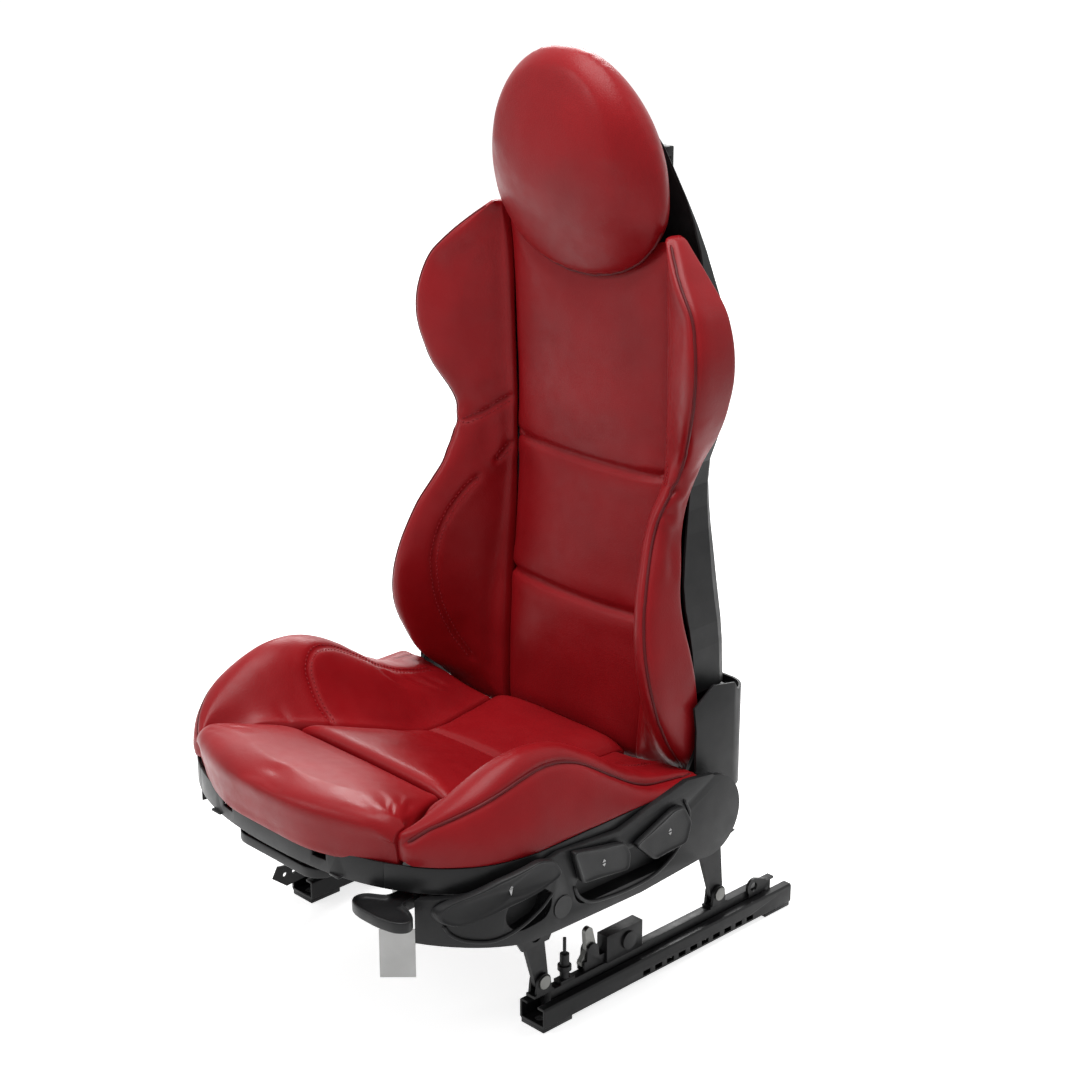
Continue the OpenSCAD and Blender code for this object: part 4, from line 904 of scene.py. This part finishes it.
def bowed_lever(y, z, h):
    return float(skirt_half(y, BOWED_OUT + h)), y, z


def lying(base):
    """Places points of a plate that lies at a height."""
    return lambda x, y, h: (x, y, base + h)


def mark(name, ob, body, x, y, z):
    """Plain pair of arrowheads, printed on a lever."""
    half, tip, rise, thick = 2.6, 4.4, 0.25, 0.6
    prism = ((0, 1, 2), (5, 4, 3), (0, 3, 4, 1), (1, 4, 5, 2), (2, 5, 3, 0))
    verts, faces = [], []
    for up in (1, -1):
        q = [(x, y - half, z + up), (x, y + half, z + up), (x, y, z + up * tip)]
        top, n = on_surface(ob, q, rise)
        faces += [tuple(len(verts) + i for i in f) for f in prism]
        verts += list(top) + list(top - thick * n)
    dress(make_object(name, verts, faces), body, MARK)


levers = {}
for name, put, thick, outline in (
        ("tilt", bowed_lever, 9,
         [(-364, 200), (-363, 213), (-352, 223), (-308, 243), (-262, 254), (-243, 248),
          (-232, 229), (-262, 219), (-306, 209), (-350, 194)]),
        ("height", flat_lever, 8,
         [(-214, 245), (-135, 229), (-126, 213), (-128, 194), (-200, 203)]),
        ("recline", flat_lever, 9,
         [(-119, 219), (-58, 242), (-42, 241), (-29, 217), (-36, 194), (-89, 191)])):
    levers[name] = moulded(name + "_lever_plate", name + "_lever", name + "_lever_body",
                           outline, put, thick)

TILT_MARK_Y, TILT_MARK_OUT = -297, 17.5
for name, at in (("tilt", (float(skirt_half(TILT_MARK_Y, TILT_MARK_OUT)), TILT_MARK_Y, 230)),
                 ("height", (273, -167, 216)), ("recline", (274, -64, 217))):
    mark(name + "_mark", levers[name], name + "_lever_body", *at)

# Rolled lips round the levers' wells
LIP_OUT, LIP_RADIUS = 7.4, 2.2
for name, points in (
        ("lever_well_lip",
         [(-206, 199), (-199, 185), (-182, 172), (-150, 166), (-117, 164), (-80, 167), (-50, 180),
          (-31, 200), (-25, 222), (-34, 243)]),
        ("tilt_well_lip",
         [(-352, 190), (-347, 180), (-335, 172), (-309, 168), (-282, 176), (-254, 191),
          (-238, 204)])):
    yz = smooth_line(points, 110)
    path = np.c_[skirt_half(yz[:, 0], LIP_OUT), yz]
    dress(bead(name, path, LIP_RADIUS, 12), "seat_frame", BLACK)

moulded("thigh_paddle_spoon", "thigh_release_paddle", "thigh_paddle",
        [(163, -346), (185, -346), (187, -380), (206, -385), (221, -393), (224, -404), (214, -414),
         (190, -419), (160, -419), (145, -415), (138, -405), (141, -394), (152, -386), (162, -380)],
        lying(202), 13, soft=6, rim=2.2, dish=2.5)
moulded("slide_paddle_bar", "slide_release_paddle", "slide_paddle",
        [(-75, -364), (75, -364), (75, -392), (60, -404), (-60, -404), (-75, -392)],
        lying(203), 12, soft=6, rim=1.6, dish=1.8)

# Hard parts with moulded edges: the width of each part's rounding
for node, body, width in (
        ("left_side_cover", "seat_frame", 1.2), ("right_side_cover", "seat_frame", 1.2),
        ("front_valance", "seat_frame", 0.8), ("left_sill", "seat_frame", 0.8),
        ("right_sill", "seat_frame", 0.8), ("lower_back_cover", "backrest", 1.0),
        ("belt_guide", "backrest", 1.6), ("latch_housing", "carriage", 1.0),
        ("rail_feet", "floor_rails", 0.8), ("left_lower_rail", "floor_rails", 0.5),
        ("right_lower_rail", "floor_rails", 0.5), ("left_upper_rail", "carriage", 0.5),
        ("right_upper_rail", "carriage", 0.5)):
    softened(node, body, width)


# Studio: pale floor, large soft lights
def seen(t, unseen, shown):
    """One value for light that falls on the object, another for what the camera and reflections
    show."""
    path = t.nodes.new("ShaderNodeLightPath")
    total = path.outputs["Is Camera Ray"]
    for kind in ("Is Glossy Ray", "Is Transmission Ray"):
        either = t.nodes.new("ShaderNodeMath")
        either.operation = "MAXIMUM"
        t.links.new(total, either.inputs[0])
        t.links.new(path.outputs[kind], either.inputs[1])
        total = either.outputs["Value"]
    r = t.nodes.new("ShaderNodeMapRange")
    r.inputs["To Min"].default_value, r.inputs["To Max"].default_value = unseen, shown
    t.links.new(total, r.inputs["Value"])
    return r.outputs["Result"]


WHITE, PALE, PALER = (1, 1, 1, 1), (0.87, 0.87, 0.87), (0.9, 0.9, 0.9)
FLOOR_HALF, FLOOR_Z = 30000, -0.5
floor = make_object("floor", [(i * FLOOR_HALF, j * FLOOR_HALF, FLOOR_Z)
                              for i, j in ((-1, -1), (1, -1), (1, 1), (-1, 1))], [(0, 1, 2, 3)])
ground, t, b = shader("pale_floor")
b.inputs["Roughness"].default_value = 0.8
t.links.new(ramp(t, noise_of(t, place(t), 0.6, 2), PALE, PALER), b.inputs["Base Color"])
b.inputs["Emission Color"].default_value = WHITE
t.links.new(seen(t, 0.0, 0.76), b.inputs["Emission Strength"])
floor.data.materials.append(ground)

scene.view_settings.view_transform = "Standard"
world = bpy.data.worlds.new("studio")
world.use_nodes = True
t = world.node_tree
background = t.nodes["Background"]
background.inputs["Color"].default_value = WHITE
t.links.new(seen(t, 0.3, 1.0), background.inputs["Strength"])
scene.world = world


def softbox(name, at, to, size, power):
    lamp = bpy.data.lights.new(name, "AREA")
    lamp.shape = "RECTANGLE"
    lamp.size, lamp.size_y = size
    lamp.energy = power
    ob = new_object(name, lamp)
    ob.location = at
    ob.rotation_euler = (Vector(to) - Vector(at)).to_track_quat("-Z", "Y").to_euler()


softbox("top", (0.1, -0.3, 3.0), (0, -0.1, 0.4), (1.8, 1.8), 76)
softbox("right", (1.8, 2.2, 2.6), (0, 0, 0.8), (1.2, 1.6), 5)
softbox("front", (-1.2, -2.7, 2.3), (0, -0.1, 0.6), (1.2, 1.2), 26)
softbox("behind", (-2.2, 2.4, 2.4), (0, 0, 0.5), (1.8, 1.4), 75)
